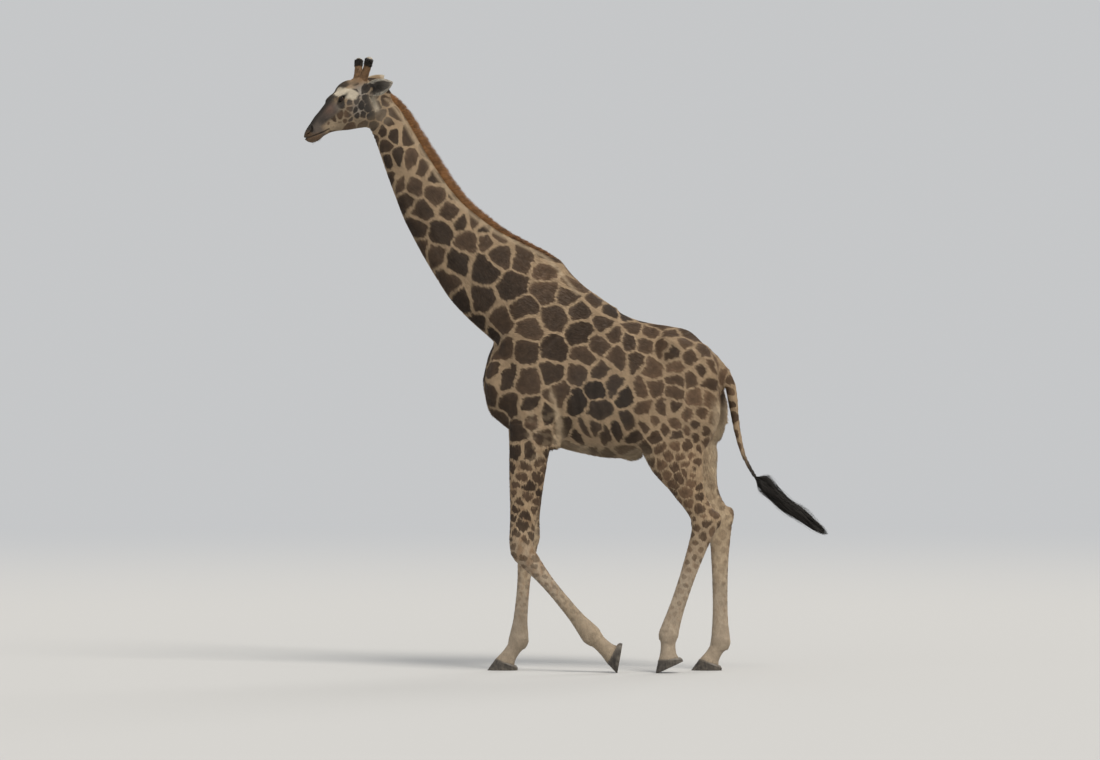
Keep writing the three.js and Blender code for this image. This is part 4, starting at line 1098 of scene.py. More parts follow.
# Soft spots of the head: (colour, share, place along and up, half sizes along and up).
HEAD_SPOTS = [
    (HAZE, 0.8, (95, 75), (58, 62)),  # temple
    (FLUSH, 0.7, (372, 88), (46, 40)),
    (HAZE * 0.42, 0.7, (305, 62), (34, 34)),
    (CREAM * 0.62, 0.8, (275, 46), (30, 22)),  # under the eye
    (DUSK * 0.55, 0.7, (468, 46), (58, 42)),
]
BROW_LINE = ((250, 170), (150, 75))


def mixed(a, b, share):
    return a + (b - a) * np.clip(share, 0, 1)[:, None]


class Look:
    """For each point: ground colour, patch colour, half width of the lines, and how much the patches show."""

    def __init__(self, count):
        self.ground = np.tile(SAND, (count, 1))
        self.patch = np.tile(DARK, (count, 1))
        self.rim = np.full(count, LINE_WIDTH)
        self.show = np.ones(count)

    def tint(self, colour, share):
        self.ground = mixed(self.ground, colour, share)

    def tint_patch(self, colour, share):
        self.patch = mixed(self.patch, colour, share)

    def hide(self, share):
        self.show = self.show * (1 - share)


def body_look(look, p):
    """The neck, the trunk, the legs and the tail."""
    x, y, z = p.T
    look.tint_patch(RUSSET, 0.75 * smoothstep(350, 800, x) * smoothstep(2700, 2300, z))
    look.tint_patch(RUSSET, 0.45 * smoothstep(2850, 3100, z) * smoothstep(-500, -300, x))
    look.rim = look.rim + 4.5 * drift(p, 260, 8)[:, 0] - 1.5 * smoothstep(3300, 4300, z)
    # Legs: sand fading to cream, with the patches thinning out below the knee and the hock.
    fore = x < FORE_LEGS_END
    on_leg = smoothstep(1800, 1500, z)
    down = smoothstep(1250, 600, z)
    look.tint((CREAM + HAZE) / 2, 0.7 * smoothstep(1300, 600, z))
    look.rim = look.rim - 3.5 * on_leg * fore - 1.5 * on_leg + 5 * down
    look.hide(0.6 * down)
    look.hide(0.75 * smoothstep(520, 330, z))
    # Brown smudges on the forearm, the knee and the hock.
    stain = smoothstep(-0.15, 0.7, drift(p, 60, 13)[:, 0]) * window(z, 760, 1640, 160)
    look.tint(CHESTNUT * 0.9, (0.30 + 0.35 * fore) * stain)
    mottle = smoothstep(0.1, 0.8, drift(p, 42, 14)[:, 1]) * window(z, 330, 1000, 120)
    look.tint(CHESTNUT, (0.30 + 0.2 * fore) * mottle)
    # The insides of the legs are pale, with faint patches.
    for leg in legs.values():
        near_leg = (z < 1850) & (np.sign(y) == leg.outward)
        for part in leg.limbs:
            s, across, v = part.local(p)
            on_part = near_leg & (s > -0.05 * part.length) & (s < part.length) & (np.abs(across) < 420)
            inner = smoothstep(0, -50, v * leg.outward) * on_part * smoothstep(1850, 1700, z)
            look.tint(CREAM, 0.7 * inner * smoothstep(500, 800, z))
            look.hide(0.62 * inner)
    # The pale rear edge of the shoulder, painted shade that darkens the patches of the flank behind it, and
    # the pale smudge over the elbow.
    lean = 0.24 * np.maximum(z - 1900, 0)
    edge = bell(x + 60 + lean + 9 * drift(p, 90, 16)[:, 0], 20 + 20 * smoothstep(2050, 1800, z))
    edge = edge * window(z, 1740, 2190, 60) * smoothstep(90, 140, np.abs(y))
    look.tint(CREAM * 1.1, 0.8 * edge)
    look.hide(0.8 * edge)
    # Painted shade: the patches of the lower flank behind the shoulder are darkened towards soot.
    look.tint_patch(SOOT * 0.8, 0.5 * window(x, 20, 500, 90) * window(z, 1850, 2330, 130))
    smudge = window(x, -330, -70, 50) * window(z, 1600, 2020, 70)
    smudge = smudge * smoothstep(-0.1, 0.5, drift(p, 70, 12)[:, 0])
    look.tint(CREAM * 0.9, 0.5 * smudge)
    look.hide(0.3 * smudge)
    # Belly, buttock and the end of the tail.
    under = smoothstep(1790, 1690, z) * window(x, -60, 640, 60)
    look.tint(CREAM * 0.75, 0.5 * under)
    look.hide(0.35 * under)
    behind = smoothstep(1075, 1140, x) * window(z, 1480, 2090, 70) * smoothstep(0, 14, tail_distance(p))
    look.tint(CREAM * 1.1, 0.85 * behind)
    look.hide(0.8 * behind)
    dark_tail = smoothstep(1330, 1420, x) * (z < 1900)
    look.tint(SOOT, dark_tail)
    look.hide(dark_tail)


def head_look(look, p, near_head):
    """A pale band under the ear, a dark face, a sandy jaw, a cream brow, a sooty ridge, dark rims of the
    lids. Returns how much each point belongs to the head."""
    s, up, aside = head.local(p)
    a = np.abs(aside)
    on_it = near_head * smoothstep(-60, 40, s) * smoothstep(-265, -205, up)

    def spot(place, size):
        return bell(s - place[0], size[0]) * bell(up - place[1], size[1]) * on_it

    look.tint(SAND * 0.85, 0.85 * on_it)
    over_jaw = up - 42 + 0.16 * (s - 272)
    jaw = np.maximum(
        smoothstep(14, -22, over_jaw) * smoothstep(200, 290, s + 0.5 * up),
        smoothstep(-70, -110, up) * smoothstep(150, 200, s),
    )
    jaw = jaw * smoothstep(500, 440, s) * on_it
    look.tint(CREAM * 0.72, 0.75 * jaw)
    look.tint(HAZE * 0.75, 0.75 * spot((180, -30), (75, 75)) * (1 - jaw))
    band = bell(s - 46 + 0.15 * (up + 80), 31) * window(up, -130, 15, 35) * smoothstep(4150, 4230, p[:, 2])
    look.tint(BROW, 0.85 * band)
    face = smoothstep(275, 345, s) * smoothstep(-22, 14, over_jaw)
    look.tint(DUSK, 0.92 * np.maximum(face, smoothstep(455, 520, s)) * on_it)
    for colour, share, place, size in HEAD_SPOTS:
        look.tint(colour, share * spot(place, size))
    below_top = up - head.table.read(s, 1)
    ridge = smoothstep(-24 - 16 * smoothstep(230, 300, s), -8, below_top) * smoothstep(85, 150, s)
    look.tint(SOOT * 0.7, 0.92 * ridge * on_it)
    lips = smoothstep(495, 560, s) * smoothstep(14, -26, up - mouth_line(s) - 12) * on_it
    look.tint(CHESTNUT * 0.8, 0.8 * lips)
    look.tint(CHESTNUT * 0.8, 0.6 * spot((612, 4), (26, 26)))
    _, away = from_segment(s, up, *BROW_LINE, 0.16, 0.86)
    brow = smoothstep(50, 28, away + 5 * drift(p, 30, 15)[:, 0]) * smoothstep(12, 30, a) * on_it
    look.tint(BROW, brow)
    look.tint(CHESTNUT, 0.9 * bell(s - 30, 75) * smoothstep(105, 155, up) * on_it)
    look.tint(SOOT, 0.8 * bell(up - mouth_line(s), 5) * smoothstep(440, 460, s) * on_it)
    nostril = bell(np.hypot(s - NOSTRIL["at"][0] + 6, up - NOSTRIL["at"][1]), 15)
    look.tint(SOOT * 0.5, 0.9 * nostril * on_it)
    look.tint_patch(SOOT * 1.35, on_it)
    look.tint_patch(RUSSET * 0.8, 0.8 * jaw)
    look.hide(on_it * smoothstep(-14, 14, over_jaw) * smoothstep(290, 330, s))
    look.hide(on_it * smoothstep(440, 480, s))
    look.hide(on_it * smoothstep(120, 165, up))
    look.hide(0.35 * on_it * smoothstep(-115, -160, up))
    look.hide(brow)
    look.hide(0.95 * band)
    look.rim = look.rim - 5.5 * on_it - jaw + 7 * smoothstep(50, 90, up) * on_it
    # The lids, and dark streaks from both corners of the eye.
    long, high, out = in_eye(s, up, a)
    dark_lid = smoothstep(13, 3, almond(long, high)) * (out > -6)
    streak = np.maximum(bell(long - 30, 26) * bell(high + 9, 11), bell(long + 40, 28) * bell(high + 4, 11))
    dark_lid = np.maximum(dark_lid, 0.85 * streak) * on_it
    look.tint(SOOT, dark_lid)
    look.hide(dark_lid)
    return on_it


def ear_look(look, p, near_head):
    """Sand outside, grey inside with painted shade darkening the hollow towards its root, and pale rims."""
    for side in (LEFT, RIGHT):
        t, u, lift, _ = ear_local(side, p)
        own = window(t, 0.12, 1.2, 0.05) * (np.abs(u) < 1.5) * (np.abs(lift) < 20) * near_head
        inside = own * smoothstep(-1, 2.5, lift)
        look.tint(SAND * 0.9, own)
        look.tint(HAZE * 0.5, 0.8 * inside)
        # Painted shade: the hollow darkens towards the root of the ear and the middle of its cup.
        look.tint(SOOT, inside * smoothstep(0.95, 0.35, t) * (1 - 0.5 * np.abs(u)))
        pale = np.maximum(smoothstep(0.72, 1.0, np.abs(u)), smoothstep(0.8, 0.95, t))
        look.tint(BROW, 0.75 * own * pale)
        look.hide(own)


def crest_look(look, p, off_head):
    """Pale hair beside the mane, and the brown crest under it."""
    s, up, aside = neck.local(p)
    z = p[:, 2]
    below_top = up - neck.table.read(s, 1)
    beside = bell(below_top + 26, 16) * (z > 2900) * (z < 4420) * off_head
    look.tint(CREAM * 0.9, 0.7 * beside)
    look.hide(0.75 * beside)
    crest = smoothstep(20, 9, np.abs(aside)) * smoothstep(-14, -4, below_top) * (z > 2900)
    look.tint(CHESTNUT * 0.7, crest)
    look.hide(crest)


def coat_look(p):
    near_head = smoothstep(3950, 4150, p[:, 2])
    look = Look(len(p))
    body_look(look, p)
    on_head_share = head_look(look, p, near_head)
    ear_look(look, p, near_head)
    crest_look(look, p, 1 - on_head_share)
    return look


# ---- Mesh objects ----
def mesh_object(name, verts, faces, smooth=True):
    """A mesh from millimetres; faces is an array of triangles or a list of polygons."""
    mesh = bpy.data.meshes.new(name)
    verts = metres(verts)
    if isinstance(faces, np.ndarray):
        n, k = faces.shape
        mesh.vertices.add(len(verts))
        mesh.vertices.foreach_set("co", verts.reshape(-1))
        mesh.loops.add(n * k)
        mesh.loops.foreach_set("vertex_index", faces.reshape(-1).astype(np.int32))
        mesh.polygons.add(n)
        mesh.polygons.foreach_set("loop_start", np.arange(0, n * k, k, dtype=np.int32))
        mesh.update(calc_edges=True)
    else:
        mesh.from_pydata(verts.tolist(), [], faces)
    mesh.polygons.foreach_set("use_smooth", np.full(len(mesh.polygons), smooth))
    obj = bpy.data.objects.new(name, mesh)
    bpy.context.scene.collection.objects.link(obj)
    return obj


def store(obj, name, values, domain="POINT"):
    """Saves one or three values for each point or corner."""
    values = np.asarray(values, np.float32)
    kind, field = ("FLOAT_VECTOR", "vector") if values.ndim == 2 else ("FLOAT", "value")
    layer = obj.data.attributes.new(name, kind, domain)
    layer.data.foreach_set(field, values.reshape(-1))


def store_uv(obj, corners):
    layer = obj.data.uv_layers.new(name="OFBake")
    layer.data.foreach_set("uv", np.asarray(corners, np.float32).reshape(-1))


def loop_rows(obj):
    """For each corner of the mesh, its vertex and its face."""
    mesh = obj.data
    vertex = np.empty(len(mesh.loops), np.int32)
    mesh.loops.foreach_get("vertex_index", vertex)
    total = np.empty(len(mesh.polygons), np.int32)
    mesh.polygons.foreach_get("loop_total", total)
    return vertex, np.repeat(np.arange(len(total)), total)


# ---- Materials ----
class Nodes:
    """A material's node tree, written as short calls."""

    def __init__(self, name):
        self.material = bpy.data.materials.new(name)
        self.material.use_nodes = True
        self.tree = self.material.node_tree
        self.tree.nodes.clear()
        self.out = self.tree.nodes.new("ShaderNodeOutputMaterial")
        self.shader = self.tree.nodes.new("ShaderNodeBsdfPrincipled")
        self.tree.links.new(self.shader.outputs[0], self.out.inputs["Surface"])

    def plug(self, socket, value):
        if isinstance(value, bpy.types.NodeSocket):
            self.tree.links.new(value, socket)
        elif socket.type == "RGBA" and len(value) == 3:
            socket.default_value = (*value, 1)
        else:
            socket.default_value = value

    def set(self, **values):
        for name, value in values.items():
            self.plug(self.shader.inputs[name.replace("_", " ")], value)

    def math(self, operation, *values):
        node = self.tree.nodes.new("ShaderNodeMath")
        node.operation = operation
        for socket, value in zip(node.inputs, values):
            self.plug(socket, value)
        return node.outputs[0]

    def attribute(self, name, output="Vector"):
        node = self.tree.nodes.new("ShaderNodeAttribute")
        node.attribute_name = name
        return node.outputs[output]

    def place(self):
        return self.tree.nodes.new("ShaderNodeTexCoord").outputs["Object"]

    def noise(self, where, scale, detail=2.0, roughness=0.5):
        node = self.tree.nodes.new("ShaderNodeTexNoise")
        self.plug(node.inputs["Vector"], where)
        node.inputs["Scale"].default_value = scale
        node.inputs["Detail"].default_value = detail
        node.inputs["Roughness"].default_value = roughness
        return node.outputs["Fac"]

    def ramp(self, value, low, high, to_low=0.0, to_high=1.0):
        node = self.tree.nodes.new("ShaderNodeMapRange")
        node.interpolation_type = "SMOOTHSTEP"
        names = ("Value", "From Min", "From Max", "To Min", "To Max")
        for name, number in zip(names, (value, low, high, to_low, to_high)):
            self.plug(node.inputs[name], number)
        return node.outputs[0]

    def mix(self, share, a, b):
        node = self.tree.nodes.new("ShaderNodeMix")
        node.data_type = "RGBA"
        self.plug(node.inputs[0], share)
        self.plug(node.inputs[6], a)
        self.plug(node.inputs[7], b)
        return node.outputs[2]

    def split(self, vector):
        node = self.tree.nodes.new("ShaderNodeSeparateXYZ")
        self.plug(node.inputs[0], vector)
        return node.outputs

    def scaled(self, vector, by):
        node = self.tree.nodes.new("ShaderNodeVectorMath")
        node.operation = "MULTIPLY"
        self.plug(node.inputs[0], vector)
        node.inputs[1].default_value = by
        return node.outputs[0]

    def scaled_by(self, colour, factor):
        """A colour with all three channels multiplied by one value."""
        node = self.tree.nodes.new("ShaderNodeVectorMath")
        node.operation = "SCALE"
        self.plug(node.inputs[0], colour)
        self.plug(node.inputs["Scale"], factor)
        return node.outputs[0]

    def bump(self, height, distance, strength=1.0, below=None):
        node = self.tree.nodes.new("ShaderNodeBump")
        node.inputs["Strength"].default_value = strength
        node.inputs["Distance"].default_value = distance
        self.plug(node.inputs["Height"], height)
        if below is not None:
            self.plug(node.inputs["Normal"], below)
        return node.outputs[0]


def coat_material(name, of_hair):
    """The giraffe's coat, on the skin or on its tufts, which carry the values of their roots."""
    m = Nodes(name)
    where = m.place()
    cells = m.split(m.attribute("cells"))
    marks = m.split(m.attribute("marks"))  # half line width, how much the patches show, tint
    wander = m.math("MULTIPLY", m.math("SUBTRACT", m.noise(where, 34, 5, 0.65), 0.5), 16.0)
    # Half the step from the nearest patch's middle to the next two, rounded where the two are alike.
    second = m.math("SMOOTH_MIN", cells[1], cells[2], 34.0)
    gap = m.math("ADD", m.math("MULTIPLY", m.math("SUBTRACT", second, cells[0]), 0.5), wander)
    edge = m.math("SUBTRACT", gap, marks[0])
    inside = m.ramp(edge, -1.6, 2.2)
    shown = m.math("MULTIPLY", inside, marks[1])
    tint = m.ramp(marks[2], 0, 1, 0.7, 1.5)
    core = m.ramp(gap, 14, 42, 1.12, 0.82)
    mottle = m.ramp(m.noise(where, 26, 4, 0.6), 0.3, 0.7, 0.84, 1.16)
    patch = m.scaled_by(m.attribute("patch"), m.math("MULTIPLY", m.math("MULTIPLY", tint, core), mottle))
    ground_noise = m.ramp(m.noise(where, 14, 4, 0.6), 0.28, 0.72, 0.88, 1.12)
    ground = m.scaled_by(m.attribute("ground"), ground_noise)
    colour = m.mix(shown, ground, patch)
    if of_hair:
        vary = m.attribute("vary", "Fac")
        colour = m.scaled_by(colour, m.ramp(vary, 0, 1, 0.86, 1.16))
    else:
        comb = m.attribute("comb")
        strands = m.noise(comb, 150, 3, 0.6)
        colour = m.scaled_by(colour, m.ramp(strands, 0.3, 0.7, 0.9, 1.1))
        folds = m.noise(where, 18, 3, 0.55)
        m.set(Normal=m.bump(strands, 0.0012, 0.5, m.bump(folds, 0.004, 0.35)))
    m.set(Base_Color=colour, Roughness=0.6, Specular_IOR_Level=0.22)
    return m.material


# ---- The skin ----
# Along the lie of the hair, the fine strands are drawn out by this much.
STRAND_STRETCH = 0.16
LIE_AXIS = unit(
    np.array(
        [HEAD_FRAME[0], neck.axis, [0.9, 0, -0.35], tail_axis, EARS[LEFT][1], EARS[RIGHT][1]]
        + [[0.1, 0, -1]] * len(legs)
    )
)


def combed(part, p):
    """Coordinates in metres, squeezed along the lie of the hair."""
    way = LIE_AXIS[part]
    return metres(p - way * ((p * way).sum(1) * (1 - STRAND_STRETCH))[:, None])


skin = mesh_object("skin", skin_verts, skin_faces)
loop_vertex, loop_face = loop_rows(skin)
warped_verts = warped(skin_verts)
loop_seeds = nearest_seeds(warped_verts[skin_quads].mean(1))[loop_face]
skin_look = coat_look(skin_verts)
marks = [skin_look.rim[loop_vertex], skin_look.show[loop_vertex], SEED_TINTS[loop_seeds[:, 0]]]
store(skin, "cells", seed_distances(warped_verts[loop_vertex], loop_seeds), "CORNER")
store(skin, "ground", skin_look.ground)
store(skin, "patch", skin_look.patch)
store(skin, "marks", np.column_stack(marks), "CORNER")
store(skin, "comb", combed(face_parts[loop_face], skin_verts[loop_vertex]), "CORNER")
store_uv(skin, unwrap(face_charts[loop_face], skin_verts[loop_vertex]))
skin.data.materials.append(coat_material("coat_skin", False))


# ---- Hair ----
# A strand is a closed three-sided spike that runs along a path of points to its tip.
def strand_shapes(paths, across, over, widths, depths):
    """Vertices and triangles of many strands; paths is (strands, points, 3), the last point the tip."""
    n, k, _ = paths.shape
    ring = np.stack([-across[:, None] * widths[..., None] / 2, across[:, None] * widths[..., None] / 2], 2)
    ridge = over[:, None] * depths[..., None]
    rings = np.concatenate([ring, ridge[:, :, None]], 2)[:, : k - 1] + paths[:, : k - 1, None]
    verts = np.concatenate([rings.reshape(n, -1, 3), paths[:, -1:]], 1)
    faces = [(0, 1, 2)]
    for j in range(k - 2):
        for c in range(3):
            a, b = 3 * j + c, 3 * j + (c + 1) % 3
            faces += [(a, a + 3, b), (b, a + 3, b + 3)]
    last = 3 * (k - 2)
    faces += [(last + c, 3 * (k - 1), last + (c + 1) % 3) for c in range(3)]
    per = verts.shape[1]
    faces = np.array(faces) + (np.arange(n) * per)[:, None, None]
    place = np.concatenate([np.repeat(np.arange(k - 1), 3), [k - 1]]) / (k - 1)
    sideways = np.concatenate([np.tile([-1.0, 1.0, 0.0], k - 1), [0.0]])
    return verts.reshape(-1, 3), faces.reshape(-1, 3), per, place, sideways


TUFT_PATCH = 0.003  # how wide a tuft's own patch is on the unwrap


def hair_object(name, paths, across, over, widths, depths, root_uv, look):
    """One piece of hair. look gives the values of each strand, as a dict of arrays."""
    verts, faces, per, place, sideways = strand_shapes(paths, across, over, widths, depths)
    obj = mesh_object(name, verts, faces, paths.shape[1] > 2)
    n = len(paths)
    small = np.stack([sideways * 0.42, place * 0.86 - 0.43 - 0.06 * (sideways == 0)], 1) * TUFT_PATCH
    uv = (root_uv[:, None] + small).reshape(-1, 2)
    store_uv(obj, uv[faces.reshape(-1)])
    for key, values in look.items():
        store(obj, key, np.repeat(values, per, 0))
    store(obj, "along", np.tile(place, n))
    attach(obj, "root")
    return obj


def lie(part, p, normal):
    """The way the hair lies at each place: along the body and the limbs, over the skin."""
    way = LIE_AXIS[part].copy()
    trunk = part == TRUNK_PART
    way[trunk, 2] -= 0.35 * smoothstep(2700, 2200, p[trunk, 2])
    way += 0.16 * drift(p, 420, 21) + 0.1 * drift(p, 90, 22)
    way -= normal * (way * normal).sum(1, keepdims=True)
    return unit(way + 1e-9)


def coat_sizes(part, p):
    """Length, width and lift of the tufts at each place."""
    x, y, z = p.T
    length = np.full(len(p), 24.0)
    low_leg = (part >= LEG_PARTS[0]) * smoothstep(1400, 500, z)
    length = length * (1 - 0.5 * low_leg)
    of_head, of_neck = part == HEAD_PART, part == NECK_PART
    length[of_head] = 9 - 4.5 * smoothstep(150, 520, head.local(p[of_head])[0])
    length[(part == LEFT_EAR_PART) | (part == RIGHT_EAR_PART)] = 8
    length[part == TAIL_PART] = 15
    length[of_neck] = 21 - 8 * smoothstep(3500, 4200, z[of_neck])
    # A fringe over the hooves.
    for leg in legs.values():
        over = (p - leg.coronet) @ leg.hair_line
        close = np.linalg.norm(p - leg.coronet, axis=1) < 200
        length = length + 9 * close * smoothstep(34, 8, over)
    # Longer, looser hair where the form breaks: brisket, belly line, elbows, buttocks and throat.
    brisket = bell(x + 560, 150) * bell(z - 2050, 260) * smoothstep(150, 40, np.abs(y))
    belly = smoothstep(1790, 1690, z) * window(x, -60, 620, 80) * (z > 1500)
    elbow = 0.3 * bell(x + 130, 110) * bell(z - 1730, 120)
    buttock = smoothstep(1060, 1180, x) * window(z, 1500, 2300, 120) * (part != TAIL_PART)
    throat = of_neck * smoothstep(-60, -130, neck.local(p)[1]) * 0.4
    loose = np.clip(brisket + belly + elbow + 0.8 * buttock + throat, 0, 1)
    length = length * (1 + 0.55 * loose)
    return length, 1.2 + 0.155 * length, 0.13 + 0.13 * loose


def sown(rng, wanted, weight):
    """Roots strewn over the skin: their places, faces and normals."""
    chance = face_areas * weight
    face = rng.choice(len(face_areas), wanted, p=chance / chance.sum())
    a, b = rng.uniform(0, 1, (2, wanted))
    q = corners[face]
    top = q[:, 0] + (q[:, 1] - q[:, 0]) * a[:, None]
    low = q[:, 3] + (q[:, 2] - q[:, 3]) * a[:, None]
    place = top + (low - top) * b[:, None]
    share = np.stack([(1 - a) * (1 - b), a * (1 - b), a * b, (1 - a) * b], 1)
    normal = unit((skin_normals[skin_quads[face]] * share[..., None]).sum(1))
    return place, face, normal


def coat_values(roots, rng):
    """What the coat's material reads for each tuft."""
    places = warped(roots)
    near = nearest_seeds(places)
    look = coat_look(roots)
    return {
        "cells": seed_distances(places, near),
        "ground": look.ground,
        "patch": look.patch,
        "marks": np.column_stack([look.rim, look.show, SEED_TINTS[near[:, 0]]]),
        "vary": rng.uniform(0, 1, len(roots)),
    }


def bare(p):
    """Where no coat grows: in the lids, the nostrils and the mouth, and under the hair line of the feet."""
    s, up, aside = head.local(p)
    long, high, out = in_eye(s, up, np.abs(aside))
    none = (almond(long, high) < 4) & (out > -2)
    none |= (np.hypot(s - NOSTRIL["at"][0], up - NOSTRIL["at"][1]) < 20) & (s > 500)
    none |= (np.abs(up - mouth_line(s)) < 5) & (s > MOUTH["corner"] - 5)
    none &= p[:, 2] > 3900
    for leg in legs.values():
        close = np.linalg.norm(p - leg.coronet, axis=1) < 260
        none |= close & ((p - leg.coronet) @ leg.hair_line < 1)
    return none


coat_hair = coat_material("coat_tufts", True)
hairy = ~bare(face_middles)


def coat_piece(name, parts, wanted, seed, weight=1.0):
    """One piece of the coat; weight says how densely each face of the skin is sown."""
    rng = np.random.default_rng(seed)
    roots, face, normal = sown(rng, wanted, (np.isin(face_parts, parts) & hairy) * weight)
    part = face_parts[face]
    way = lie(part, roots, normal)
    length, width, lift = coat_sizes(part, roots)
    length = length * rng.uniform(0.75, 1.25, wanted)
    width = width * rng.uniform(0.8, 1.2, wanted)
    turn = rng.normal(0, 0.13, wanted)
    way = unit(way + np.cross(normal, way) * turn[:, None])
    across = unit(np.cross(normal, way))
    start = roots - normal * 0.3
    tip = roots + way * length[:, None] + normal * (length * lift * rng.uniform(0.7, 1.3, wanted))[:, None]
    widths = np.repeat(width[:, None], 2, 1)
    depths = widths * 0.2 + 0.3
    uv = unwrap(face_charts[face], roots)
    look = coat_values(roots, rng)
    obj = hair_object(name, np.stack([start, tip], 1), across, normal, widths, depths, uv, look)
    obj.data.materials.append(coat_hair)


on_face = head.local(face_middles)[0] > 190
in_front = face_middles[:, 0] < 330
on_low_leg = face_middles[:, 2] < 700
coat_piece("coat_face", [HEAD_PART], 49000, 31, on_face)
coat_piece("coat_poll", [HEAD_PART, LEFT_EAR_PART, RIGHT_EAR_PART], 46000, 36, ~on_face)
coat_piece("coat_neck", [NECK_PART], 48000, 32)
coat_piece("coat_trunk_front", [TRUNK_PART], 42000, 33, in_front)
coat_piece("coat_trunk_back", [TRUNK_PART, TAIL_PART], 42000, 34, ~in_front)
coat_piece("coat_legs", LEG_PARTS, 49000, 35, 1 + 1.5 * on_low_leg)


# ---- Long hair and the mane ----
def bent_paths(start, way, length, bend, points):
    """Paths that leave along way and bend over by the vector bend at their tips."""
    t = np.linspace(0, 1, points)
    return start[:, None] + way[:, None] * (length[:, None] * t)[..., None] + bend[:, None] * (t**2)[:, None]


def tapered(width, points):
    t = np.linspace(0, 1, points)
    return width[:, None] * (1 - 0.85 * t) ** 0.8


class Strands:
    """Values of strands, gathered in groups and joined at the end."""

    def __init__(self):
        self.groups = {}

    def add(self, **values):
        for name, value in values.items():
            self.groups.setdefault(name, []).append(value)

    def joined(self):
        return [np.concatenate(group) for group in self.groups.values()]


def hair_material(name, dark, light, ends, roughness=0.55):
    """Hair whose colour runs between two values by strand, and to a third at the tips."""
    m = Nodes(name)
    vary = m.attribute("vary", "Fac")
    colour = m.mix(m.ramp(vary, 0, 1), dark, light)
    colour = m.mix(m.ramp(m.attribute("along", "Fac"), 0.35, 1.0, 0, 0.8), colour, ends)
    clump = m.ramp(m.noise(m.place(), 22, 3, 0.6), 0.3, 0.7, 0.75, 1.25)
    m.set(Base_Color=m.scaled_by(colour, clump), Roughness=roughness, Specular_IOR_Level=0.3)
    return m.material


def grown(name, start, paths, width, depth, over, vary, material):
    """A piece of long hair whose roots are matched to the skin beneath them."""
    place, _, face = skin_under(start)
    across = unit(np.cross(over, paths[:, 1] - paths[:, 0]))
    widths = tapered(width, paths.shape[1])
    uv = unwrap(face_charts[face], place)
    obj = hair_object(name, paths, across, over, widths, widths * depth, uv, {"vary": vary})
    obj.data.materials.append(material)
    return obj


def grow_mane():
    rng = np.random.default_rng(41)
    n = 13500
    s = rng.uniform(mane.at[0] + 12, mane.at[-1] - 10, n)
    v = rng.uniform(-1, 1, n)
    clump = np.sin(s / 17 + 2 * np.sin(s / 61)) * np.cos(s / 29)
    start = neck.start + np.outer(s, neck.axis) + np.outer(neck.table.read(s, 1) - 14, neck.across)
    start = start + np.outer(v * mane.read(s, 2) * 0.8, neck.side)
    ragged = smoothstep(900, 1900, s)
    length = (mane.read(s, 1) + 12) * rng.uniform(0.72, 1.02, n) * (1 + clump * (0.06 + 0.14 * ragged))
    lean = 0.32 + 0.25 * ragged + 0.2 * clump * (0.4 + ragged) + rng.normal(0, 0.09, n)
    aside = v * 0.12 + rng.normal(0, 0.06, n)
    way = unit(neck.across + np.outer(lean, neck.axis) + np.outer(aside, neck.side))
    bend = np.outer(length * 0.16, neck.axis) + np.outer(length * v * 0.06, neck.side)
    paths = bent_paths(start, way, length, bend, 3)
    width = rng.uniform(2.6, 4.6, n)
    # Darker towards the withers.
    vary = np.clip(rng.uniform(0.35, 1.1, n) - 0.75 * ragged * rng.uniform(0.3, 1, n), 0, 1)
    over = unit(np.cross(way, neck.axis) * np.sign(v + 1e-9)[:, None] + 1e-9)
    material = hair_material("mane_hair", (0.10, 0.052, 0.027), (0.40, 0.200, 0.080), (0.20, 0.100, 0.045))
    obj = grown("mane_hair", start, paths, width, 0.5, over, vary, material)
    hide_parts("mane")


# ---- The tail's tuft ----
TUFT_LOCKS = 17
TUFT_STEP = 100  # from one row of the tuft's table to the next
TUFT_TABLE = Table([(TUFT_STEP * i, *row) for i, row in enumerate(TUFT)])


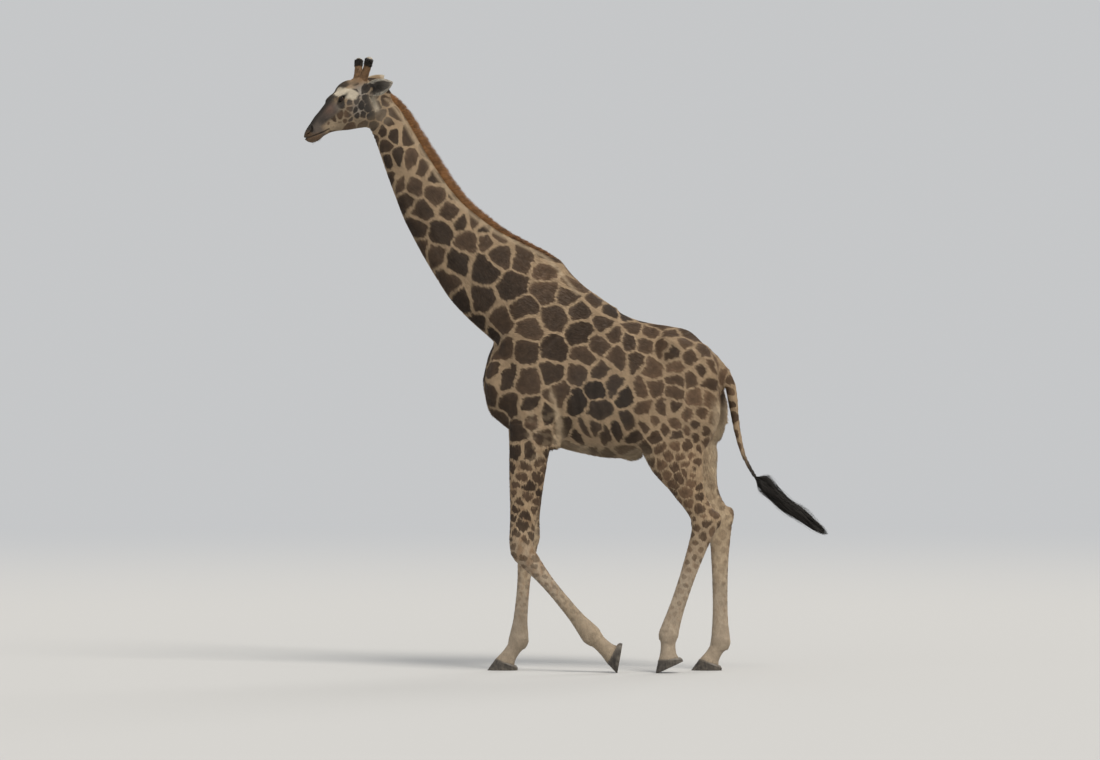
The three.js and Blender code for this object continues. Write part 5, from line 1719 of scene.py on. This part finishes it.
def grow_tail():
    """Long hair in locks that end at different rows of the tuft's table."""
    rng = np.random.default_rng(42)
    n = 3000
    points = 9
    lock = rng.integers(0, TUFT_LOCKS, n)
    first = rng.uniform(-0.3, 3.0, n)
    short = 2.6 * rng.uniform(0, 1, TUFT_LOCKS)[lock] * rng.uniform(0.5, 1.2, n)
    last = np.clip(first + rng.uniform(2.6, 6.5, n), 0, len(TUFT) - 1.05 - short)
    rng.uniform(size=n)  # draws that are passed over
    reach = rng.uniform(0.15, 1, n) ** 0.5
    share = np.linspace(0, 1, points)
    at = first[:, None] + (last - first)[:, None] * share
    x, z, tall, wide = (TUFT_TABLE.read(at * TUFT_STEP, c) for c in (1, 2, 3, 4))
    early = np.minimum(at, 0)
    x, z = x + early * 30, z - early * 25
    lock_reach = rng.uniform(0.55, 1.3, TUFT_LOCKS)[lock]
    angle = 2 * math.pi * lock / TUFT_LOCKS + rng.normal(0, 0.16, n)
    spread = (reach * lock_reach)[:, None] * np.clip(0.4 + share, 0, 1)
    spread = np.where(at < 0.3, spread * 0.6, spread) * (1 + 0.35 * bell(at - 1.4, 1.0))
    parted = 1 + 0.4 * smoothstep(len(TUFT) - 3.4, len(TUFT) - 1, at)
    spread = spread * np.where(lock_reach[:, None] > 0.8, parted, 1)
    stray = np.where(rng.uniform(0, 1, n) < 0.12, rng.uniform(0.1, 0.9, n), 0)
    spread = spread * (1 + stray[:, None] * share**2)
    wave = 0.3 * np.sin(at * 1.3 + lock[:, None] * 2.1) + 0.1 * np.sin(at * 3 + angle[:, None] * 5)
    turn = angle[:, None] + wave
    lift = np.cos(turn) * tall * spread
    paths = np.stack([x + lift * 0.6, np.sin(turn) * wide * spread, z + lift * 0.8], 2)
    width = rng.uniform(2.4, 4.2, n)
    over = unit(np.stack([0.6 * np.cos(angle), np.sin(angle), 0.8 * np.cos(angle)], 1))
    colours = (0.012, 0.011, 0.010), (0.034, 0.029, 0.025), (0.03, 0.026, 0.022)
    material = hair_material("tail_hair", *colours, 0.45)
    vary = rng.uniform(0, 1, n)
    obj = grown("tail_tuft_hair", paths[:, 0], paths, width, 0.6, over, vary, material)
    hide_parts("tail_tuft")


# ---- Ear hair and lashes ----
def grow_ears():
    """Pale hair along the rims of the ears, and dark down in their hollows, darkened towards the root by
    painted shade.
    """
    rng = np.random.default_rng(43)
    hairs = Strands()
    n = 900
    for side in (LEFT, RIGHT):
        root, along, across, opening = EARS[side]
        t = rng.uniform(0.2, 0.96, n)
        rim = rng.uniform(0, 1, n) < 0.55
        on_rim = rng.choice([-1.0, 1.0], n) * rng.uniform(0.84, 0.98, n)
        u = np.where(rim, on_rim, rng.uniform(-0.8, 0.8, n))
        width, cup = ear_leaf(t)
        place = root + np.outer(t * EAR["length"], along) + np.outer(u * width, across)
        place = place + np.outer((u**2 - 0.5) * cup + EAR["thickness"] * 0.2, opening)
        inward = -np.sign(u) * np.where(rim, 0.75, 0.2)
        way = unit(0.8 * along + np.outer(inward, across) + 0.42 * opening)
        length = np.where(rim, rng.uniform(20, 38, n), rng.uniform(12, 24, n))
        # Painted shade: the down in the hollow darkens towards the root of the ear.
        vary = np.where(rim, rng.uniform(0.55, 1, n), rng.uniform(0, 0.5, n) * (0.4 + 0.6 * t))
        hairs.add(start=place, way=way, length=length, vary=vary, over=np.tile(opening, (n, 1)))
    start, way, length, vary, over = hairs.joined()
    paths = bent_paths(start, way, length, over * (-0.18 * length)[:, None], 4)
    material = hair_material("ear_hair", (0.05, 0.042, 0.036), (0.62, 0.57, 0.48), (0.55, 0.5, 0.42))
    grown("ear_hair", start, paths, np.full(len(start), 1.5), 0.5, over, vary, material)


LASHES = ((LID["upper"], 96, 24, 1), (LID["lower"], 34, 10, -1))  # rise of the lid, count, length, up or down
LIP_HAIRS = 80


def grow_lashes():
    """Long dark lashes on the upper lids, short ones below, and stiff hairs on lips and chin."""
    rng = np.random.default_rng(44)
    hairs = Strands()
    for side in (LEFT, RIGHT):
        to_side = np.array([1, 1, -side])[:, None] * HEAD_FRAME
        for rise, count, size, sign in LASHES:
            long = np.linspace(-0.94, 0.98, count) * LID["half_length"] + rng.normal(0, 0.4, count)
            share = long / LID["half_length"]
            high = sign * rise * (1 - share**2)
            out = np.sqrt(np.maximum((EYE["radius"] + 3.5) ** 2 - long**2 - high**2, 20))
            place = EYE["at"] + np.outer(long, EYE_LONG) + np.outer(high + sign * 1.5, EYE_UP)
            place = place + np.outer(out, EYE_OUT)
            forward = share * 0.5 + (0.3 if sign > 0 else 0)
            way = EYE_OUT * 0.95 + sign * EYE_UP * 0.12 + np.outer(forward, EYE_LONG)
            bend = EYE_UP * (-0.28 * size if sign > 0 else 0)
            hairs.add(
                start=head.start + place @ to_side,
                way=unit(way) @ to_side,
                length=size * rng.uniform(0.75, 1.1, count),
                bend=np.tile(bend @ to_side, (count, 1)),
                width=np.full(count, 1.15),
            )
    s = rng.uniform(520, 628, LIP_HAIRS)
    on_chin = rng.uniform(0, 1, LIP_HAIRS) < 0.6
    aside = rng.uniform(-42, 42, LIP_HAIRS) * np.where(on_chin, 1, 2.2)
    up = np.where(on_chin, -110.0, -20.0 + rng.uniform(-30, 20, LIP_HAIRS))
    place, normal, _ = skin_under(head.start + np.column_stack([s, up, aside]) @ HEAD_FRAME)
    way = unit(normal + 0.5 * head.axis + 0.1 * rng.normal(size=normal.shape))
    length = rng.uniform(7, 17, LIP_HAIRS)
    bend = np.tile([0, 0, -3.0], (LIP_HAIRS, 1))
    hairs.add(start=place, way=way, length=length, bend=bend, width=np.full(LIP_HAIRS, 0.6))
    start, way, length, bend, width = hairs.joined()
    paths = bent_paths(start, way, length, bend, 5)
    over = unit(np.cross(way, head.axis))
    colours = (0.010, 0.008, 0.007), (0.02, 0.016, 0.013), (0.015, 0.012, 0.01)
    material = hair_material("lash_hair", *colours, 0.4)
    grown("lashes", start, paths, width, 0.6, over, rng.uniform(0, 1, len(start)), material)


# ---- Horns ----
HORN = {
    "root": (45, 118, 62), "tip": (-95, 268, 122), "stagger": (5, 4, 0),
    "base": 41, "waist": 28, "knob": 33, "sunk": 30, "rounding": 24,
}
HORN_RINGS, HORN_SEGMENTS = 84, 56
KNOB_ENDS = np.array([0.72, 0.48, 0.28, 0.12, 0.03, 0])  # how far the last rings are from the tip


def ring_faces(first, rings, segments, corner, size, flip=False):
    """Faces and unwrap of a wall of rings, whose first vertex has the number first."""
    faces, uvs = [], []
    for i in range(rings - 1):
        for j in range(segments):
            a = first + i * segments + j
            b = first + i * segments + (j + 1) % segments
            face = (a, b, b + segments, a + segments)
            uv = [
                (corner[0] + size[0] * (j + dj) / segments, corner[1] + size[1] * (i + di) / rings)
                for dj, di in ((0, 0), (1, 0), (1, 1), (0, 1))
            ]
            faces.append(face[::-1] if flip else face)
            uvs += uv[::-1] if flip else uv
    return faces, uvs


def circle(middle, radius, segments):
    """The unwrap of a round cap."""
    angles = np.linspace(0, 2 * math.pi, segments, endpoint=False)
    return [(middle[0] + radius * math.cos(a), middle[1] + radius * math.sin(a)) for a in angles]


def horn_frame(side):
    root = on_head(HORN["root"], side)[0]
    tip = on_head(np.array(HORN["tip"]) + side * np.array(HORN["stagger"]), side)[0]
    along = tip - root
    length = np.linalg.norm(along)
    along = along / length
    u = unit(np.cross(along, head.axis))
    return root, along, length, u, np.cross(along, u)


def horn_radius(t):
    wide = HORN["waist"] + (HORN["base"] - HORN["waist"]) * (1 - t) ** 2
    return wide + (HORN["knob"] - HORN["waist"]) * np.maximum(t, 0) ** 3


def horn_surface(side, t, angle, out=0.0):
    """Points on a horn at a share of its length and an angle round it."""
    root, along, length, u, w = horn_frame(side)
    rounding = HORN["rounding"]
    dome = np.sqrt(np.clip(1 - (1 - np.clip((1 - t) * length / rounding, 0, 1)) ** 2, 0, 1))
    radius = (horn_radius(t) - 4 - rounding) + (rounding * dome) + out
    lumps = 1.6 * np.sin(3 * angle + 9 * t) + 1.2 * np.sin(5 * angle - 14 * t + side)
    radius = radius + lumps * smoothstep(0.0, 0.3, t) * dome
    radius = np.where(t >= 1, 0, radius) * (0.75 + 0.25 * smoothstep(-0.2, 0.1, t))
    ring = np.cos(angle)[..., None] * u + np.sin(angle)[..., None] * w
    root = root - (head.side * -side) * (14 * smoothstep(0.35, -0.1, t))[..., None]
    return root + (t * length)[..., None] * along + radius[..., None] * ring


def build_horns():
    verts, faces, uvs, shares = [], [], [], []
    per_horn = HORN_RINGS * HORN_SEGMENTS
    angle = np.linspace(0, 2 * math.pi, HORN_SEGMENTS, endpoint=False)
    for k, side in enumerate((LEFT, RIGHT)):
        first = k * per_horn
        start = -HORN["sunk"] / horn_frame(side)[2]
        t = start + (1 - start) * np.linspace(0, 1, HORN_RINGS) ** 0.9
        t[-6:] = 1 - (1 - t[-7]) * KNOB_ENDS
        ring_t, ring_angle = np.meshgrid(t, angle, indexing="ij")
        grid = horn_surface(side, ring_t, ring_angle)
        grid[-1] = grid[-1].mean(0)
        verts.append(grid.reshape(-1, 3))
        shares.append(ring_t.reshape(-1))
        wall, wall_uvs = ring_faces(first, HORN_RINGS, HORN_SEGMENTS, (k * 0.5 + 0.01, 0.01), (0.48, 0.98))
        faces += [*wall, tuple(range(first, first + HORN_SEGMENTS))[::-1]]
        uvs += wall_uvs + circle((0.01, 0.01), 0.005, HORN_SEGMENTS)
    obj = mesh_object("horns", np.concatenate(verts), faces)
    store(obj, "along", np.concatenate(shares))
    store_uv(obj, uvs)
    m = Nodes("horn_skin")
    where = m.place()
    rough = m.noise(where, 70, 4, 0.6)
    t = m.math("ADD", m.attribute("along", "Fac"), m.math("MULTIPLY", m.math("SUBTRACT", rough, 0.5), 0.08))
    colour = m.mix(m.ramp(t, 0.62, 0.78), (0.17, 0.098, 0.05), (0.02, 0.016, 0.014))
    colour = m.mix(m.ramp(t, 0.93, 0.97), colour, (0.33, 0.29, 0.235))
    grain = m.ramp(m.noise(where, 160, 4, 0.6), 0.3, 0.7, 0.7, 1.2)
    m.set(Base_Color=m.scaled_by(colour, grain), Roughness=0.6, Specular_IOR_Level=0.3)
    m.set(Normal=m.bump(rough, 0.004, 0.6))
    obj.data.materials.append(m.material)
    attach(obj, "root")
    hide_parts("ossicone_left", "ossicone_right")


# Each: how many, from and to along the horn, length, how far they stand out, how brown they are.
HORN_HAIRS = ((3400, -0.1, 0.74, 15, 0.22, 1.0), (1700, 0.64, 0.87, 17, 0.7, 0.0))


def grow_horn_hair():
    """Short hair up the horns, and a stiff black ring round their worn tops."""
    rng = np.random.default_rng(45)
    hairs = Strands()
    for side in (LEFT, RIGHT):
        _, along, _, u, w = horn_frame(side)
        for n, low, high, size, out_share, brown in HORN_HAIRS:
            t = rng.uniform(low, high, n)
            angle = rng.uniform(0, 2 * math.pi, n)
            ring = np.cos(angle)[:, None] * u + np.sin(angle)[:, None] * w
            way = unit(along + ring * out_share + 0.12 * rng.normal(size=ring.shape))
            length = size * rng.uniform(0.7, 1.2, n)
            vary = np.clip(brown - 0.9 * smoothstep(0.62, 0.78, t) + rng.uniform(-0.25, 0, n), 0, 1)
            hairs.add(start=horn_surface(side, t, angle, -1.0), way=way, length=length, vary=vary, over=ring)
    start, way, length, vary, over = hairs.joined()
    paths = bent_paths(start, way, length, -over * (0.1 * length)[:, None], 3)
    width = rng.uniform(1.8, 3.0, len(start))
    material = hair_material("horn_hair", (0.012, 0.010, 0.009), (0.26, 0.15, 0.075), (0.03, 0.02, 0.014))
    grown("horn_hair", start, paths, width, 0.5, over, vary, material)


# ---- Eyes ----
EYE_RINGS, EYE_SEGMENTS = 57, 64


def build_eyes():
    verts, faces, uvs, gaze = [], [], [], []
    polar = np.linspace(0, math.pi, EYE_RINGS)
    angle = np.linspace(0, 2 * math.pi, EYE_SEGMENTS, endpoint=False)
    polar, angle = np.meshgrid(polar, angle, indexing="ij")
    ways = np.stack([np.sin(polar) * np.cos(angle), np.sin(polar) * np.sin(angle), np.cos(polar)], -1)
    cornea = 1 + 0.055 * np.exp(-((polar / 0.52) ** 4))
    local = ways * ((EYE["radius"] - 0.4) * cornea)[..., None] @ np.stack([EYE_LONG, EYE_UP, EYE_OUT])
    for k, side in enumerate((LEFT, RIGHT)):
        place = ((EYE["at"] + local) * [1, 1, -side]).reshape(-1, 3)
        verts.append(head.start + place @ HEAD_FRAME)
        gaze.append(ways.reshape(-1, 3))
        first = k * EYE_RINGS * EYE_SEGMENTS
        corner = (k * 0.49 + 0.005, 0.01)
        wall, wall_uvs = ring_faces(first, EYE_RINGS, EYE_SEGMENTS, corner, (0.49, 0.98), side == RIGHT)
        faces += wall
        uvs += wall_uvs
    obj = mesh_object("eyeballs", np.concatenate(verts), faces)
    store(obj, "gaze", np.concatenate(gaze))
    store_uv(obj, uvs)
    m = Nodes("eye_wet")
    axes = m.split(m.attribute("gaze"))

    def from_middle(wide, tall):
        across = m.math("POWER", m.math("MULTIPLY", axes[0], wide), 2.0)
        up = m.math("POWER", m.math("MULTIPLY", axes[1], tall), 2.0)
        return m.math("SQRT", m.math("ADD", across, up))

    spread = from_middle(1.0, 1.0)
    pupil = m.ramp(from_middle(0.62, 1.5), 0.26, 0.3)
    fibres = m.noise(m.scaled(m.attribute("gaze"), (9, 9, 1)), 3.0, 4, 0.6)
    iris = m.mix(fibres, (0.022, 0.010, 0.005), (0.060, 0.029, 0.012))
    colour = m.mix(pupil, (0.002, 0.002, 0.003), iris)
    colour = m.mix(m.ramp(spread, 0.55, 0.68), colour, (0.012, 0.009, 0.007))
    colour = m.mix(m.ramp(spread, 0.86, 0.93), colour, (0.05, 0.035, 0.028))
    m.set(Base_Color=colour, Roughness=0.08, Specular_IOR_Level=0.3)
    obj.data.materials.append(m.material)
    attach(obj, "root")
    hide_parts("eye_left", "eye_right")


# ---- Hooves ----
CLAW_RINGS, CLAW_SEGMENTS = 46, 72


def claw_points(leg, side):
    """The wall of one claw up to the hair line, and how far below that line each point lies."""
    t = np.linspace(0, 1.35, CLAW_RINGS)
    angle = np.linspace(0, 2 * math.pi, CLAW_SEGMENTS, endpoint=False)
    t, a = np.meshgrid(t, angle, indexing="ij")
    toe, heel = HOOF["wall_run"] * t, HOOF["length"] - HOOF["heel_run"] * t
    wide = HOOF["width"] * (1 - HOOF["narrowing"] * t)
    c = np.cos(a)
    along = (toe + heel) / 2 - np.sign(c) * np.abs(c) ** 0.8 * (heel - toe) / 2
    blunt = 0.72 + 0.28 * np.minimum(1, (along - toe) / 90)
    out = np.maximum(np.sin(a), -0.62) * 0.5 * blunt
    aside = side * (CLEFT / 2 + wide * (0.31 + out))
    p = leg.tip + along[..., None] * leg.sole + (HOOF["wall"] * t)[..., None] * leg.rise
    p = p + aside[..., None] * SIDEWAYS
    middle = leg.tip + leg.sole * 150 + leg.rise * 60 + SIDEWAYS * side * 32
    over = (p - leg.coronet) @ leg.hair_line
    # Growth rings run round the wall, and it swells a little under the hair line.
    below = -over
    ripple = 0.7 * np.sin(below / 4.2) + 0.5 * np.sin(below / 9.7 + 1)
    swell = (ripple - 0.7) * smoothstep(8, 20, below) + 1.2 * bell(below - 14, 7) - 1.0
    swell = swell - 7 * smoothstep(13, -2, below)
    away = p - middle
    away = away - (away @ leg.rise)[..., None] * leg.rise
    p = p + unit(away) * swell[..., None]
    over = (p - leg.coronet) @ leg.hair_line
    p = p - (np.maximum(over, 0) / (leg.rise @ leg.hair_line))[..., None] * leg.rise
    p[..., 2] = np.maximum(p[..., 2], 0)
    return p, below


CLAW_CHART = 0.25  # each claw's share of the unwrap


def build_hooves():
    verts, faces, uvs, depth, nodes = [], [], [], [], []
    per_claw = CLAW_RINGS * CLAW_SEGMENTS
    for name, leg in legs.items():
        for place, side in (("outer", leg.outward), ("inner", -leg.outward)):
            index = len(nodes)
            first = index * per_claw
            nodes.append(f"{name}_claw_{place}")
            grid, below = claw_points(leg, side)
            verts.append(grid.reshape(-1, 3))
            depth.append(below.reshape(-1))
            flip = side > 0
            corner = np.array([index % 4, index // 4]) * CLAW_CHART + 0.005
            wall, wall_uvs = ring_faces(first, CLAW_RINGS, CLAW_SEGMENTS, corner, (0.235, 0.235), flip)
            faces += wall
            uvs += wall_uvs
            bottom = tuple(range(first, first + CLAW_SEGMENTS))
            top = tuple(range(first + per_claw - CLAW_SEGMENTS, first + per_claw))
            for cap, turned, aside in ((bottom, not flip, 0.06), (top, flip, 0.18)):
                faces.append(cap[::-1] if turned else cap)
                uvs += circle(corner + [aside - 0.005, 0.555], 0.05, CLAW_SEGMENTS)
    obj = mesh_object("hooves", np.concatenate(verts), faces)
    store(obj, "below", np.concatenate(depth) / 1000)
    store_uv(obj, uvs)
    m = Nodes("hoof_horn")
    where = m.place()
    below = m.attribute("below", "Fac")
    streaks = m.noise(m.scaled(where, (1, 1, 0.25)), 60, 4, 0.6)
    colour = m.mix(m.ramp(streaks, 0.3, 0.7), (0.030, 0.026, 0.022), (0.085, 0.072, 0.058))
    colour = m.mix(m.ramp(below, 0.002, 0.016), (0.12, 0.10, 0.08), colour)
    dust = m.ramp(m.noise(where, 18, 4, 0.6), 0.45, 0.75, 0, 0.45)
    colour = m.mix(dust, colour, (0.20, 0.175, 0.14))
    m.set(Base_Color=colour, Roughness=0.48, Specular_IOR_Level=0.35)
    m.set(Normal=m.bump(streaks, 0.0015, 0.5))
    obj.data.materials.append(m.material)
    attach(obj, "root")
    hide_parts(*nodes)


grow_mane()
grow_tail()
grow_ears()
grow_lashes()
build_horns()
grow_horn_hair()
build_eyes()
build_hooves()


# ---- What stands for what ----
FLESH = ["trunk", "neck_upper", "neck_lower", "head", "lower_jaw", "ear_left", "ear_right", "tail"]
for leg_name in LEGS:
    FLESH += [f"{leg_name}_{part}" for part in ("upper", "cannon", "pastern")]
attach(skin, "root")
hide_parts(*FLESH)


# ---- Stage, light and camera ----
FLOOR_RADIUS, FLOOR_SIDES = 400.0, 96
FLOOR_COLOUR = (0.50, 0.50, 0.495)
FLOOR_FADE = (9.0, 34.0)  # metres from the middle
CAMERA = {"at": (-0.131, -45, 2.63), "lens": 191, "down": 0.49}
BACKDROP = (0.97, 0.985, 1.0)
WORLD_LIGHT = 0.58
LIGHTS = [  # name, way of the light, strength, softness, colour
    ("key", (-0.5, 0.7, -1.0), 2.6, 24, (1.0, 0.94, 0.85)),
    ("fill", (0.8, 0.6, -0.25), 0.25, 60, (0.92, 0.96, 1.0)),
    ("rim", (-0.5, -0.8, -0.6), 0.8, 30, (1.0, 0.97, 0.93)),
]


def floor_disc():
    """A wide pale floor that fades into the pale world, so that no horizon shows."""
    mesh = bpy.data.meshes.new("floor")
    ring = [(x, y, 0) for x, y in circle((0, 0), FLOOR_RADIUS, FLOOR_SIDES)]
    mesh.from_pydata(ring, [], [tuple(range(FLOOR_SIDES))])
    floor = bpy.data.objects.new("floor", mesh)
    bpy.context.scene.collection.objects.link(floor)
    m = Nodes("floor_paint")
    m.set(Base_Color=FLOOR_COLOUR, Roughness=0.9, Specular_IOR_Level=0.05)
    far = m.tree.nodes.new("ShaderNodeVectorMath")
    far.operation = "LENGTH"
    m.plug(far.inputs[0], m.place())
    glow = m.tree.nodes.new("ShaderNodeEmission")
    glow.inputs["Color"].default_value = (*BACKDROP, 1)
    glow.inputs["Strength"].default_value = WORLD_LIGHT
    both = m.tree.nodes.new("ShaderNodeMixShader")
    m.plug(both.inputs[0], m.ramp(far.outputs["Value"], *FLOOR_FADE))
    m.plug(both.inputs[1], m.shader.outputs[0])
    m.plug(both.inputs[2], glow.outputs[0])
    m.plug(m.out.inputs["Surface"], both.outputs[0])
    mesh.materials.append(m.material)


def sun(name, towards, strength, softness, colour):
    """An even light from far off; softness is how wide it looks, in degrees."""
    data = bpy.data.lights.new(name, "SUN")
    data.energy = strength
    data.angle = math.radians(softness)
    data.color = colour
    lamp = bpy.data.objects.new(name, data)
    lamp.rotation_euler = Vector(towards).to_track_quat("-Z", "Y").to_euler()
    bpy.context.scene.collection.objects.link(lamp)


floor_disc()
world = bpy.data.worlds.new("studio")
bpy.context.scene.world = world
world.use_nodes = True
sky = world.node_tree.nodes["Background"]
sky.inputs["Color"].default_value = (*BACKDROP, 1)
sky.inputs["Strength"].default_value = WORLD_LIGHT
for light in LIGHTS:
    sun(*light)

lens = bpy.data.cameras.new("camera")
lens.lens = CAMERA["lens"]
lens.sensor_width = 36
lens.clip_end = 3 * FLOOR_RADIUS
camera = bpy.data.objects.new("camera", lens)
camera.location = CAMERA["at"]
camera.rotation_euler = (math.radians(90 - CAMERA["down"]), 0, 0)
bpy.context.scene.collection.objects.link(camera)
bpy.context.scene.camera = camera
bpy.context.scene.view_settings.view_transform = "Standard"
